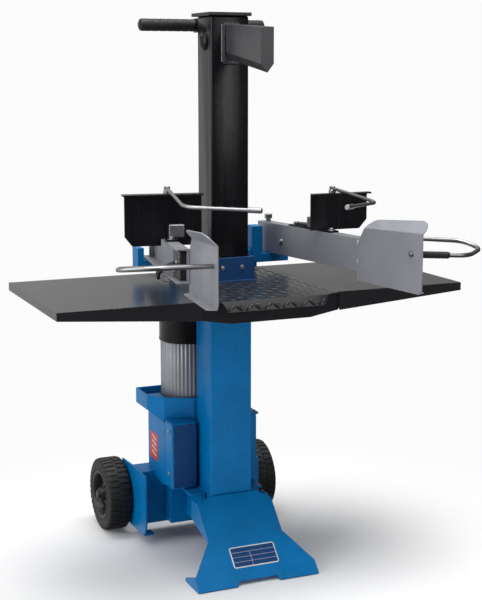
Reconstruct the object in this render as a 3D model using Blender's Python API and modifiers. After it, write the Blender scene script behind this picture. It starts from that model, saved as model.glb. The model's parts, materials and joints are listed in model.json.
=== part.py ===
"""Vertical hydraulic log splitter with two-hand control arms.

Metres, +Z up, +Y to the rear.  Everything is laid out around the axis of the splitting
column; the empty "log_splitter" then moves the whole machine so that the middle of its
footprint stands at the origin.
"""
import math

import bmesh
import bpy
from mathutils import Matrix, Vector

# ---------------------------------------------------------------- driving dimensions
GAP = 0.0003                 # clearance between touching pieces
ORIGIN_SHIFT_Y = 0.0841      # column axis ahead of the middle of the footprint

COLUMN_X, COLUMN_Y = 0.0593, 0.0557      # half widths of the blue lower column
COLUMN_WALL = 0.004
COLUMN_FOOT_Z, COLUMN_TOP_Z = 0.100, 0.846
MAST_X, MAST_Y = 0.0530, 0.0495          # half widths of the black moving mast
MAST_WALL = 0.004
MAST_FOOT_Z, MAST_TOP_Z = 0.625, 1.478
RAM_STROKE = 0.48
CAP_THICK = 0.009
BOLT_Z, BOLT_R = 1.412, 0.0100           # cross bolt that ties mast and piston rod

BARREL_R, BARREL_BORE_R = 0.030, 0.026
BARREL_FOOT_Z, BARREL_TOP_Z = 0.1045, 0.862
ROD_R, PISTON_R = 0.015, 0.0255
PISTON_Z, PISTON_LEN = 0.630, 0.035

KNIFE_HALF, KNIFE_REACH, ROOT_HALF = 0.0175, 0.282, 0.0215
KNIFE_TOP_ROOT, KNIFE_TOP_TIP = 1.457, 1.444
KNIFE_LOW_ROOT, KNIFE_LOW_TIP = 1.366, 1.334

GRIP_BAR, GRIP_BAR_R = (0.146, 1.459), 0.0085     # y and z of the bar behind the mast's head
GRIP_START, GRIP_LENGTH = 0.0245, 0.156

TABLE_Z, TABLE_SHEET = 0.7844, 0.004
TREAD_X, WING_X = 0.190, 0.5525
TREAD_FRONT, WING_FRONT, TABLE_REAR = -0.340, -0.316, 0.157

BASE_X, BASE_TOP_Z, BASE_LOW_Z = 0.1140, 0.190, 0.063
GUSSET_X = 0.1065                        # outer face of the two gussets under the front ledge
FOOT_LENGTH, FOOT_SHEET = 0.266, 0.006
WHEEL_R, WHEEL_OUT, WHEEL_IN = 0.1070, 0.2655, 0.1945
AXLE_Y, AXLE_R = 0.320, 0.0095

TANK_X0, TANK_X1, TANK_Y0, TANK_Y1, TANK_TOP_Z = -0.1430, 0.126, 0.0625, 0.222, 0.373
TRAY_TOP_Z, TRAY_SHEET = 0.440, 0.005
BUTTON_X, BUTTON_R, BUTTON_Z = -0.096, 0.0108, (0.322, 0.286)     # start above, stop below
TANK_WALL, FILLER_PLACE = 0.004, (0.100, 0.140)
MOTOR_TOP_Z, FAN_Z = 0.592, 0.606
MOTOR_X, MOTOR_Y, MOTOR_R = -0.046, 0.1505, 0.079

ARM_REAR = Vector((0.156, 0.121))        # inner face of the arm, rear and front end
ARM_FRONT = Vector((0.2316, -0.3460))
ARM_LOW_Z, ARM_TOP_Z, ARM_SHEET, ARM_FLANGE = 0.837, 0.921, 0.004, 0.032
PRESS_AXIS, STUB_R = (0.083, 0.831), 0.009          # y and z of the bar that the control levers tip on
SWING_PIN = (0.174, 0.089)               # x and y of the pin that an arm swings on
ROCKER_Y, ROCKER_TOP_Z, SPOOL_R = 0.070, 0.7952, 0.006
TAIL_CLEARANCE = 0.0026                  # play of the right lever's tail over the rocker
HANDLE_R = 0.0055
COLLAR_X, COLLAR_Y = 0.0655, 0.0620      # half widths of the sleeve through the table

# ---------------------------------------------------------------- clean start
for old in list(bpy.data.objects):
    bpy.data.objects.remove(old, do_unlink=True)

MODEL = bpy.data.collections.new("log_splitter")
CUTTERS = bpy.data.collections.new("cutters")
bpy.context.scene.collection.children.link(MODEL)
bpy.context.scene.collection.children.link(CUTTERS)


# ---------------------------------------------------------------- materials
def material(name, colour, roughness, metallic=0.0):
    mat = bpy.data.materials.new(name)
    mat.use_nodes = True
    shader = mat.node_tree.nodes["Principled BSDF"]
    shader.inputs["Base Color"].default_value = (*colour, 1.0)
    shader.inputs["Roughness"].default_value = roughness
    shader.inputs["Metallic"].default_value = metallic
    mat.diffuse_color = (*colour, 1.0)
    return mat


BLUE = material("blue_paint", (0.010, 0.130, 0.350), 0.35)
NAVY = material("navy_paint", (0.020, 0.060, 0.220), 0.35)
BLACK = material("black_gloss_paint", (0.012, 0.012, 0.014), 0.22)
TABLE_PAINT = material("table_paint", (0.060, 0.060, 0.064), 0.30)
SILVER = material("silver_paint", (0.420, 0.430, 0.460), 0.38, 0.3)
ZINC = material("zinc_steel", (0.550, 0.550, 0.560), 0.32, 1.0)
STEEL = material("bright_steel", (0.600, 0.600, 0.610), 0.20, 1.0)
ALUMINIUM = material("cast_aluminium", (0.620, 0.620, 0.630), 0.40, 0.9)
RUBBER = material("black_rubber", (0.015, 0.015, 0.016), 0.75)
PLASTIC = material("black_plastic", (0.018, 0.018, 0.020), 0.45)
RED = material("red_plastic", (0.500, 0.020, 0.015), 0.40)
GREEN = material("green_plastic", (0.020, 0.300, 0.060), 0.40)


# ---------------------------------------------------------------- building blocks
def adopt(name, mesh, mat, group=MODEL):
    """Put a mesh in the scene as a named object with one material."""
    obj = bpy.data.objects.new(name, mesh)
    group.objects.link(obj)
    mesh.materials.clear()
    if mat:
        mesh.materials.append(mat)
    return obj


def from_bmesh(name, bm, mat, group=MODEL, smooth=False):
    bm.normal_update()
    bmesh.ops.recalc_face_normals(bm, faces=bm.faces)
    mesh = bpy.data.meshes.new(name)
    bm.to_mesh(mesh)
    bm.free()
    if smooth:
        mesh.shade_smooth()
        mesh.set_sharp_from_angle(angle=math.radians(35))
    return adopt(name, mesh, mat, group)


def box(name, low, high, mat=None, bevel=0.0, group=MODEL):
    """A box between two corners, with its edges rounded when bevel is given."""
    low, high = Vector(low), Vector(high)
    place = Matrix.Translation((low + high) / 2) @ Matrix.Diagonal((*(high - low), 1))
    bm = bmesh.new()
    bmesh.ops.create_cube(bm, size=1.0, matrix=place)
    obj = from_bmesh(name, bm, mat, group)
    if bevel:
        add_bevel(obj, bevel)
    return obj


def add_bevel(obj, width, segments=1, angle=40):
    mod = obj.modifiers.new("edges", "BEVEL")
    mod.width = width
    mod.segments = segments
    mod.limit_method = "ANGLE"
    mod.angle_limit = math.radians(angle)
    mod.harden_normals = False


def cylinder(name, start, end, radius, mat=None, sides=24, group=MODEL):
    """A round bar from one point to another."""
    start, end = Vector(start), Vector(end)
    axis = end - start
    turn = axis.to_track_quat("Z", "Y").to_matrix().to_4x4()
    bm = bmesh.new()
    bmesh.ops.create_cone(bm, cap_ends=True, segments=sides, radius1=radius, radius2=radius,
                          depth=axis.length, matrix=Matrix.Translation((start + end) / 2) @ turn)
    return from_bmesh(name, bm, mat, group, smooth=True)


def plate(name, outline, frame, thickness, mat=None, group=MODEL):
    """A flat sheet: an outline in the frame's XY plane, thickness to both sides of it."""
    curve = bpy.data.curves.new(name, "CURVE")
    curve.dimensions = "2D"
    curve.fill_mode = "BOTH"
    curve.extrude = thickness / 2
    spline = curve.splines.new("POLY")
    spline.points.add(len(outline) - 1)
    for point, (x, y) in zip(spline.points, outline):
        point.co = (x, y, 0, 1)
    spline.use_cyclic_u = True
    return curve_to_mesh(name, curve, frame, mat, group)


def curve_to_mesh(name, curve, frame, mat, group=MODEL, smooth=False):
    """Turn a curve into a closed mesh object in world space."""
    carrier = bpy.data.objects.new(name + "_curve", curve)
    MODEL.objects.link(carrier)
    carrier.matrix_world = frame
    bpy.context.view_layer.update()
    evaluated = carrier.evaluated_get(bpy.context.evaluated_depsgraph_get())
    mesh = bpy.data.meshes.new_from_object(evaluated)
    bm = bmesh.new()
    bm.from_mesh(mesh)
    bmesh.ops.remove_doubles(bm, verts=bm.verts, dist=0.00002)
    bm.transform(frame)
    bpy.data.objects.remove(carrier, do_unlink=True)
    bpy.data.meshes.remove(mesh)
    return from_bmesh(name, bm, mat, group, smooth)


def round_corners(points, radius, steps=5):
    """Replace each inner corner of an open path by a short arc-like curve."""
    path = [Vector(points[0])]
    for before, corner, after in zip(points, points[1:], points[2:]):
        before, corner, after = Vector(before), Vector(corner), Vector(after)
        reach = min(radius, (before - corner).length * 0.48, (after - corner).length * 0.48)
        start = corner + (before - corner).normalized() * reach
        end = corner + (after - corner).normalized() * reach
        for step in range(steps + 1):
            t = step / steps
            path.append(start * (1 - t) ** 2 + corner * 2 * t * (1 - t) + end * t ** 2)
    path.append(Vector(points[-1]))
    return path


def bent_rod(name, points, radius, mat, corner=0.02, sides_step=2):
    """A round bar bent along a path with rounded corners."""
    curve = bpy.data.curves.new(name, "CURVE")
    curve.dimensions = "3D"
    curve.bevel_depth = radius
    curve.bevel_resolution = sides_step
    curve.use_fill_caps = True
    path = round_corners(points, corner)
    spline = curve.splines.new("POLY")
    spline.points.add(len(path) - 1)
    for point, place in zip(spline.points, path):
        point.co = (*place, 1)
    return curve_to_mesh(name, curve, Matrix.Identity(4), mat, smooth=True)


def turned(name, profile, centre, axis, mat, steps=32):
    """A turned piece: (radius, height) profile spun about an axis through centre."""
    turn = Vector(axis).to_track_quat("Z", "Y").to_matrix().to_4x4()
    bm = bmesh.new()
    ring = [bm.verts.new((radius, 0, height)) for radius, height in profile]
    closed = profile[0][0] > 0
    pairs = list(zip(ring, ring[1:])) + ([(ring[-1], ring[0])] if closed else [])
    edges = [bm.edges.new(pair) for pair in pairs]
    bmesh.ops.spin(bm, geom=ring + edges, cent=(0, 0, 0), axis=(0, 0, 1), angle=2 * math.pi,
                   steps=steps, use_merge=True, use_duplicate=False)
    bmesh.ops.remove_doubles(bm, verts=bm.verts, dist=0.00002)
    bm.transform(Matrix.Translation(centre) @ turn)
    return from_bmesh(name, bm, mat, smooth=True)


def combine(target, tool, operation):
    """Boolean the target with a tool, applied at once; the tool is kept as a cutter."""
    mod = target.modifiers.new(operation.lower(), "BOOLEAN")
    mod.operation = operation
    mod.object = tool
    mod.solver = "EXACT"
    bpy.context.view_layer.update()
    evaluated = target.evaluated_get(bpy.context.evaluated_depsgraph_get())
    mesh = bpy.data.meshes.new_from_object(evaluated)
    target.modifiers.clear()
    target.data = mesh
    if tool.name in MODEL.objects:
        MODEL.objects.unlink(tool)
        CUTTERS.objects.link(tool)
    tool.hide_render = True
    tool.display_type = "WIRE"


def cut(target, *tools):
    for tool in tools:
        combine(target, tool, "DIFFERENCE")


def join(target, *tools):
    for tool in tools:
        combine(target, tool, "UNION")


def cut_box(target, low, high):
    cut(target, box("cut_" + target.name, low, high, group=CUTTERS))


def cut_hole(target, start, end, radius, sides=24):
    cut(target, cylinder("cut_" + target.name, start, end, radius, sides=sides, group=CUTTERS))


def both_sides():
    return (("left", -1), ("right", 1))


def plane_frame(origin, x_axis, y_axis):
    """A frame whose local XY plane holds the two given directions."""
    x_axis, y_axis = Vector(x_axis).normalized(), Vector(y_axis).normalized()
    turn = Matrix((x_axis, y_axis, x_axis.cross(y_axis))).transposed().to_4x4()
    return Matrix.Translation(origin) @ turn


SIDE_PLANE = ((0, 1, 0), (0, 0, 1))      # local x runs to the rear, local y up


# ---------------------------------------------------------------- joints' empties
MACHINE = bpy.data.objects.new("log_splitter", None)
MODEL.objects.link(MACHINE)
PIVOT_PLACES = {}


def pivot(name, place, parent=MACHINE):
    empty = bpy.data.objects.new(name, None)
    MODEL.objects.link(empty)
    PIVOT_PLACES[name] = Vector(place)
    hang(empty, parent)
    empty.location = place
    return empty


def hang(obj, parent):
    """Parent an object that is modelled in column coordinates."""
    obj.parent = parent
    if parent.name in PIVOT_PLACES:
        obj.matrix_parent_inverse = Matrix.Translation(-PIVOT_PLACES[parent.name])


def settle(body, *pieces):
    """Give pieces to a body and put their origins on its joint."""
    place = PIVOT_PLACES.get(body.name, Vector((0, 0, 0)))
    for piece in pieces:
        piece.data.transform(Matrix.Translation(-place))
        piece.parent = body


# ---------------------------------------------------------------- frame and base
def lower_column():
    tube = box("lower_column", (-COLUMN_X, -COLUMN_Y, COLUMN_FOOT_Z), (COLUMN_X, COLUMN_Y, COLUMN_TOP_Z),
               BLUE)
    add_bevel(tube, 0.004, segments=2)
    inner_x, inner_y = COLUMN_X - COLUMN_WALL, COLUMN_Y - COLUMN_WALL
    cut_box(tube, (-inner_x, -inner_y, COLUMN_FOOT_Z - 0.01), (inner_x, inner_y, COLUMN_TOP_Z + 0.01))
    return tube


def foot_plate():
    """The sloping front foot, 45 degrees, flared at the floor and notched between its pads."""
    half_outline = [(0.0715, 0.000), (0.1085, 0.026), (0.1085, 0.128), (0.165, 0.214), (0.174, 0.226),
                    (0.174, FOOT_LENGTH), (0.062, FOOT_LENGTH), (0.056, FOOT_LENGTH - 0.014)]
    outline = half_outline + [(-x, s) for x, s in reversed(half_outline)]
    down = Vector((0, -1, -1)).normalized()
    half_sheet = FOOT_SHEET / 2 * math.sqrt(0.5)
    end = Vector((0, 0, half_sheet))
    start = end - down * FOOT_LENGTH
    start.y = -COLUMN_Y - half_sheet - 2 * GAP
    foot = plate("foot_plate", outline, plane_frame(start, (1, 0, 0), down), FOOT_SHEET, BLUE)
    heel = [(-0.2440, 0.0), (-0.150, 0.0), (-0.150, 0.010), (-0.2130, 0.0335)]
    for _, sign in both_sides():
        join(foot, plate("heel", heel, plane_frame((sign * 0.171, 0, 0), *SIDE_PLANE), 0.006, group=CUTTERS))
    return foot


def foot_gusset(side, sign):
    x_mid = sign * (GUSSET_X - 0.0025)
    outline = [(-0.0203, 0.1235), (-0.0203, 0.178), (-0.0615, 0.178), (-0.1525, 0.087)]
    return plate(f"foot_gusset_{side}", outline, plane_frame((x_mid, 0, 0), *SIDE_PLANE), 0.005, NAVY)


def base_frame():
    """The welded base: a box behind the column, a neck and ledge round it, and the cross channel."""
    neck_x, box_front = COLUMN_X + 0.0062, 0.120
    frame = box("base_frame", (-BASE_X, box_front, BASE_LOW_Z), (BASE_X, 0.185, BASE_TOP_Z), NAVY)
    join(frame, box("cross_channel", (-0.1865, 0.180, 0.050), (0.1865, 0.262, 0.205), group=CUTTERS),
         box("neck", (-neck_x, -0.0200, 0.085), (neck_x, box_front + 0.001, BASE_TOP_Z - 0.001),
             group=CUTTERS),
         box("ledge", (-GUSSET_X, -0.0203, BASE_TOP_Z - 0.006), (GUSSET_X, box_front + 0.001, BASE_TOP_Z),
             group=CUTTERS))
    cut_box(frame, (-COLUMN_X - GAP, -0.1, COLUMN_FOOT_Z - GAP), (COLUMN_X + GAP, COLUMN_Y + GAP, 0.3))
    cut_box(frame, (-0.1805, 0.186, 0.0), (0.1805, 0.256, 0.199))
    cut_box(frame, (-BASE_X + 0.006, box_front + 0.006, 0.0), (BASE_X - 0.006, 0.180, 0.184))
    cut_box(frame, (TANK_X0 - GAP, 0.10, BASE_TOP_Z), (TANK_X1 + GAP, TANK_Y1 + GAP, 0.22))
    return frame


def column_seat():
    """The floor plate that closes the column and carries the cylinder."""
    return box("column_seat", (-COLUMN_X + COLUMN_WALL + GAP, -COLUMN_Y + COLUMN_WALL + GAP, COLUMN_FOOT_Z),
               (COLUMN_X - COLUMN_WALL - GAP, COLUMN_Y - COLUMN_WALL - GAP, BARREL_FOOT_Z - GAP), NAVY)


def axle_bracket(side, sign):
    """The upright plate that an axle end passes through; the left one reaches further forward."""
    front = 0.116 if side == "left" else 0.205
    outline = [(front, 0.060), (front + 0.017, 0.031), (0.262, 0.029), (0.345, 0.096), (0.345, 0.155),
               (0.322, 0.209), (0.236, 0.213), (front, 0.211)]
    x_mid = sign * 0.1895
    bracket = plate(f"axle_bracket_{side}", outline, plane_frame((x_mid, 0, 0), *SIDE_PLANE), 0.005, BLUE)
    inner, outer = sorted((sign * 0.160, x_mid))
    join(bracket, box("bracket_toe", (inner, front + 0.018, 0.0302), (outer, front + 0.052, 0.0352),
                      group=CUTTERS))
    cut_hole(bracket, (x_mid - 0.02, AXLE_Y, WHEEL_R), (x_mid + 0.02, AXLE_Y, WHEEL_R), AXLE_R + GAP)
    return bracket


def axle():
    reach = WHEEL_OUT + 0.003
    return cylinder("axle", (-reach, AXLE_Y, WHEEL_R), (reach, AXLE_Y, WHEEL_R), AXLE_R, ZINC, sides=20)


def wheel(side, sign):
    """A solid rubber tyre on a dished plastic rim."""
    half_width = (WHEEL_OUT - WHEEL_IN) / 2
    x_mid = sign * (WHEEL_OUT + WHEEL_IN) / 2
    centre, axis = (x_mid, AXLE_Y, WHEEL_R), (sign, 0, 0)
    rim_r, shoulder = 0.068, 0.006
    tyre = turned(f"tyre_{side}", [
        (rim_r, -half_width + 0.005), (rim_r + 0.010, -half_width), (WHEEL_R - shoulder, -half_width),
        (WHEEL_R - 0.0015, -half_width + 0.004), (WHEEL_R, -half_width + 0.010), (WHEEL_R, half_width - 0.010),
        (WHEEL_R - 0.0015, half_width - 0.004), (WHEEL_R - shoulder, half_width), (rim_r + 0.010, half_width),
        (rim_r, half_width - 0.005)], centre, axis, RUBBER, steps=40)
    hub_r, bore = 0.022, AXLE_R + GAP
    rim = turned(f"rim_{side}", [
        (bore, -half_width + 0.001), (hub_r, -half_width + 0.001), (hub_r + 0.003, -0.006),
        (rim_r - 0.010, -0.006), (rim_r - 0.008, -half_width + 0.005), (rim_r - GAP, -half_width + 0.005),
        (rim_r - GAP, half_width - 0.005), (rim_r - 0.008, half_width - 0.005), (rim_r - 0.012, 0.004),
        (hub_r + 0.003, 0.004), (hub_r, half_width - 0.001), (bore, half_width - 0.001)],
        centre, axis, PLASTIC, steps=32)
    return tyre, rim


# ---------------------------------------------------------------- power pack
def tank():
    body = box("oil_tank", (TANK_X0, TANK_Y0, BASE_TOP_Z + GAP), (TANK_X1, TANK_Y1, TANK_TOP_Z), BLUE)
    cut_box(body, (-0.2, 0.0, 0.1), (-0.0662, 0.0855 + GAP, 0.5))
    cut_box(body, (TANK_X0 + TANK_WALL, 0.0855 + TANK_WALL, BASE_TOP_Z + GAP + TANK_WALL),
            (TANK_X1 - TANK_WALL, TANK_Y1 - TANK_WALL, TANK_TOP_Z - TANK_WALL))
    cut_hole(body, (*FILLER_PLACE, TANK_TOP_Z - 0.02), (*FILLER_PLACE, TANK_TOP_Z + 0.02), 0.011)
    return body


def tank_lid():
    lid = box("tank_lid", (0.0615, 0.0620, TANK_TOP_Z + GAP), (0.133, 0.228, TANK_TOP_Z + 0.0068), BLUE)
    cut_hole(lid, (*FILLER_PLACE, TANK_TOP_Z - 0.02), (*FILLER_PLACE, TANK_TOP_Z + 0.02), 0.011)
    return lid


def switch_box():
    cover = box("switch_box", (-0.1435, 0.0280, BASE_TOP_Z + 0.003), (-0.0690, 0.0852, 0.382), BLUE)
    add_bevel(cover, 0.004)
    cut_box(cover, (-0.1403, 0.0312, BASE_TOP_Z + 0.0062), (-0.0722, 0.1, 0.3788))
    return cover


def motor_tray():
    """An open sheet tray on the tank, its walls standing round the motor; the left end hangs out."""
    low, ledge_z, left = TANK_TOP_Z + GAP, 0.412, -0.172
    outline = [(left, 0.246), (left, 0.150), (-0.140, 0.098), (-0.064, 0.064), (0.058, 0.064), (0.058, 0.246)]
    middle = (low + TRAY_TOP_Z) / 2
    tray = plate("motor_tray", outline, Matrix.Translation((0, 0, middle)), TRAY_TOP_Z - low, BLUE)
    inside = [(-0.131, 0.241), (-0.131, 0.106), (-0.063, 0.069), (0.053, 0.069), (0.053, 0.241)]
    floor_z, above = low + TRAY_SHEET, 0.1
    cut(tray, plate("cut_inside", inside, Matrix.Translation((0, 0, floor_z + above / 2)), above,
                    group=CUTTERS))
    cut_box(tray, (left + TRAY_SHEET, 0.160, ledge_z), (-0.130, 0.246 - TRAY_SHEET, 0.5))
    cut_box(tray, (-0.16, 0.0, low - 0.01), (-0.0687, 0.0852 + GAP, 0.382 + GAP))
    tank_side, beyond = TANK_X0 + 0.0005, -0.19
    slope = [(tank_side, low - 0.02), (beyond, low - 0.02), (beyond, ledge_z - 0.001),
             (tank_side, low - 0.0001)]
    cut(tray, plate("cut_slope", slope, plane_frame((0, 0.15, 0), (1, 0, 0), (0, 0, 1)), 0.4, group=CUTTERS))
    return tray


def motor():
    """Finned motor body: a round core with cooling ribs round it."""
    foot, top = TANK_TOP_Z + TRAY_SHEET + 3 * GAP, MOTOR_TOP_Z
    ribs, core = 30, MOTOR_R - 0.006
    outline = []
    for rib in range(ribs):
        for fraction, radius in ((0.0, core), (0.38, core), (0.46, MOTOR_R), (0.92, MOTOR_R)):
            angle = 2 * math.pi * (rib + fraction) / ribs
            outline.append((radius * math.cos(angle), radius * math.sin(angle)))
    middle = Matrix.Translation((MOTOR_X, MOTOR_Y, (foot + top) / 2))
    body = plate("motor_body", outline, middle, top - foot, ALUMINIUM)
    cut_box(body, (-0.16, 0.0, foot - 0.01), (-0.0685, 0.0852 + GAP, 0.382 + GAP))
    return body


def fan_cover():
    """A round hood over the fan, open in the middle of its top."""
    inner, outer, eye = MOTOR_R + 0.0005, MOTOR_R + 0.0035, 0.030
    base, height, sheet = GAP, 0.074, 0.003
    return turned("motor_fan_cover", [
        (inner + 0.0005, base), (outer, base + 0.0017), (outer, height - 0.008), (MOTOR_R - 0.004, height),
        (eye, height), (eye, height - sheet), (MOTOR_R - 0.006, height - sheet), (inner, height - 0.010),
        (inner, base)], (MOTOR_X, MOTOR_Y, MOTOR_TOP_Z), (0, 0, 1), BLACK, steps=36)


def motor_fan():
    """The fan inside the cover: a hub disc with flat blades."""
    z = FAN_Z
    fan = cylinder("motor_fan", (MOTOR_X, MOTOR_Y, z), (MOTOR_X, MOTOR_Y, z + 0.006), 0.060, PLASTIC)
    for blade in range(6):
        turn = Matrix.Translation((MOTOR_X, MOTOR_Y, 0)) @ Matrix.Rotation(blade * math.pi / 3, 4, "Z")
        vane = box("fan_vane", (0.018, -0.0015, z + 0.003), (0.058, 0.0015, z + 0.034), group=CUTTERS)
        vane.data.transform(turn)
        join(fan, vane)
    return fan


def filler_cap():
    place = (*FILLER_PLACE, TANK_TOP_Z + 0.0071)
    return turned("filler_cap", [(0.0, 0.020), (0.012, 0.020), (0.015, 0.017), (0.015, 0.0), (0.0, 0.0)][::-1],
                  place, (0, 0, 1), PLASTIC, steps=20)


def valve_block():
    """The control valve on the back of the column, worked by the two levers' rocker."""
    block = box("valve_block", (-0.045, COLUMN_Y + GAP, 0.675), (0.045, 0.098, 0.745), STEEL)
    cut_hole(block, (0, ROCKER_Y, 0.700), (0, ROCKER_Y, 0.760), SPOOL_R + GAP, sides=16)
    return block


def valve_rocker():
    """The bar that both levers' tails push down, with the spool that it works."""
    bar = box("valve_rocker", (-0.128, ROCKER_Y - 0.006, 0.7875), (0.128, ROCKER_Y + 0.006, ROCKER_TOP_Z),
              ZINC)
    join(bar, cylinder("spool", (0, ROCKER_Y, 0.720), (0, ROCKER_Y, 0.790), SPOOL_R, group=CUTTERS, sides=16))
    return bar


def switch_unit():
    """The switch and inlet housing on the back of the tank, with pockets for two buttons and the inlet."""
    front, back = TANK_Y1 + GAP, TANK_Y1 + 0.032
    unit = box("switch_unit", (-0.118, front, 0.235), (-0.046, back, 0.345), PLASTIC, 0.003)
    for z in BUTTON_Z:
        cut_hole(unit, (BUTTON_X, back - 0.006, z), (BUTTON_X, back + 0.01, z), BUTTON_R + 0.0007, sides=20)
    cut_hole(unit, (-0.066, back - 0.012, 0.262), (-0.066, back + 0.01, 0.262), 0.016, sides=24)
    return unit


def push_button(name, z, mat):
    back = TANK_Y1 + 0.032
    return cylinder(name, (BUTTON_X, back - 0.0016, z), (BUTTON_X, back + 0.0048, z), BUTTON_R, mat, sides=20)


# ---------------------------------------------------------------- ram
def mast():
    tube = box("mast", (-MAST_X, -MAST_Y, MAST_FOOT_Z), (MAST_X, MAST_Y, MAST_TOP_Z), BLACK)
    add_bevel(tube, 0.005, segments=2)
    inner_x, inner_y = MAST_X - MAST_WALL, MAST_Y - MAST_WALL
    cut_box(tube, (-inner_x, -inner_y, MAST_FOOT_Z - 0.01), (inner_x, inner_y, MAST_TOP_Z + 0.01))
    cut_hole(tube, (-0.1, 0, BOLT_Z), (0.1, 0, BOLT_Z), BOLT_R + GAP)
    return tube


def mast_cap():
    low = MAST_TOP_Z + GAP
    return box("mast_cap", (-0.060, -MAST_Y - 0.003, low), (0.060, 0.074, low + CAP_THICK), BLACK, 0.001)


def cross_bolt():
    """The pin through mast and piston rod, with a domed head at each side."""
    seat = MAST_X + GAP
    half = [(BOLT_R, seat), (0.0225, seat), (0.0215, seat + 0.0040), (0.0170, seat + 0.0085),
            (0.0090, seat + 0.0113), (0.0, seat + 0.0120)]
    profile = [(radius, -reach) for radius, reach in reversed(half)] + half
    return turned("cross_bolt", profile, (0, 0, BOLT_Z), (1, 0, 0), BLACK, steps=20)


def knife():
    """The splitting knife: a blade from root to tip, its lower edge ground to a point, on a root plate."""
    root = -MAST_Y - GAP
    half_edge, grind_height = 0.0006, 0.021
    bm = bmesh.new()
    ends = ((root - 0.002, KNIFE_TOP_ROOT, KNIFE_LOW_ROOT), (-KNIFE_REACH, KNIFE_TOP_TIP, KNIFE_LOW_TIP))
    for y, top, low in ends:
        for _, sign in both_sides():
            bm.verts.new((sign * KNIFE_HALF, y, top))
            bm.verts.new((sign * KNIFE_HALF, y, low + grind_height))
            bm.verts.new((sign * half_edge, y, low))
    bmesh.ops.convex_hull(bm, input=bm.verts)
    blade = from_bmesh("knife", bm, BLACK)
    join(blade, box("root_plate", (-ROOT_HALF, root - 0.010, 1.356), (ROOT_HALF, root, 1.460), group=CUTTERS))
    return blade


def transport_bracket():
    outer, inner, rear = 0.0210, 0.0150, 0.158
    bracket = box("transport_bracket", (-outer, MAST_Y + GAP, 1.440), (outer, rear, 1.4775), BLACK)
    cut_box(bracket, (-inner, MAST_Y + 0.008, 1.43), (inner, 0.20, 1.49))
    cut_hole(bracket, (-0.1, *GRIP_BAR), (0.1, *GRIP_BAR), GRIP_BAR_R + GAP, sides=20)
    return bracket


def transport_bar():
    reach = GRIP_START + GRIP_LENGTH + 0.002
    return cylinder("transport_bar", (-reach, *GRIP_BAR), (reach, *GRIP_BAR), GRIP_BAR_R, BLACK, sides=20)


def transport_grip(side, sign):
    bore, radius, depth = GRIP_BAR_R + GAP, 0.0165, 0.0016
    profile = [(bore, 0.0), (radius, 0.0), (radius, 0.003)]
    rings, pitch = 5, 0.027
    for ring in range(rings):
        start = 0.012 + ring * pitch
        profile += [(radius, start), (radius - depth, start + 0.002), (radius - depth, start + 0.005),
                    (radius, start + 0.007)]
    profile += [(radius, GRIP_LENGTH - 0.006), (radius - 0.004, GRIP_LENGTH), (bore, GRIP_LENGTH)]
    return turned(f"transport_grip_{side}", profile, (sign * GRIP_START, *GRIP_BAR), (sign, 0, 0), RUBBER,
                  steps=16)


def piston_rod():
    rod = cylinder("piston_rod", (0, 0, PISTON_Z + PISTON_LEN + GAP), (0, 0, 1.440), ROD_R, STEEL, sides=24)
    cut_hole(rod, (-0.1, 0, BOLT_Z), (0.1, 0, BOLT_Z), BOLT_R + GAP)
    return rod


def piston():
    return cylinder("piston", (0, 0, PISTON_Z), (0, 0, PISTON_Z + PISTON_LEN), PISTON_R, STEEL, sides=32)


def cylinder_barrel():
    """The cylinder tube, closed below, with the gland's bore at the top."""
    return turned("cylinder_barrel", [
        (0.0, BARREL_FOOT_Z), (BARREL_R, BARREL_FOOT_Z), (BARREL_R, BARREL_TOP_Z), (ROD_R + GAP, BARREL_TOP_Z),
        (ROD_R + GAP, BARREL_TOP_Z - 0.022), (BARREL_BORE_R, BARREL_TOP_Z - 0.022), (BARREL_BORE_R, 0.118),
        (0.0, 0.118)], (0, 0, 0), (0, 0, 1), STEEL, steps=32)


# ---------------------------------------------------------------- table
def apron_outline(half_width, outer_depth, inner_depth, inner_x):
    top = TABLE_Z - TABLE_SHEET
    return [(inner_x, top + 0.001), (half_width, top + 0.001), (half_width, TABLE_Z - outer_depth),
            (inner_x, TABLE_Z - inner_depth)]


def table_wing(side, sign):
    """A side wing: a sheet with its front, rear and outer edges folded down."""
    x_in, x_out = TREAD_X + GAP, WING_X
    low, high = sorted((sign * x_in, sign * x_out))
    wing = box(f"table_wing_{side}", (low, WING_FRONT, TABLE_Z - TABLE_SHEET), (high, TABLE_REAR, TABLE_Z),
               TABLE_PAINT)
    outline = [(sign * x, z) for x, z in apron_outline(x_out, 0.021, 0.048, x_in)]
    for y in (WING_FRONT + 0.002, TABLE_REAR - 0.002):
        fold = plate("fold", outline, plane_frame((0, y, 0), (1, 0, 0), (0, 0, 1)), 0.004, group=CUTTERS)
        join(wing, fold)
    edge_in, edge_out = sorted((sign * (x_out - 0.004), sign * x_out))
    join(wing, box("edge_fold", (edge_in, WING_FRONT, TABLE_Z - 0.021), (edge_out, TABLE_REAR, TABLE_Z - 0.001),
                   group=CUTTERS))
    return wing


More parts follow.
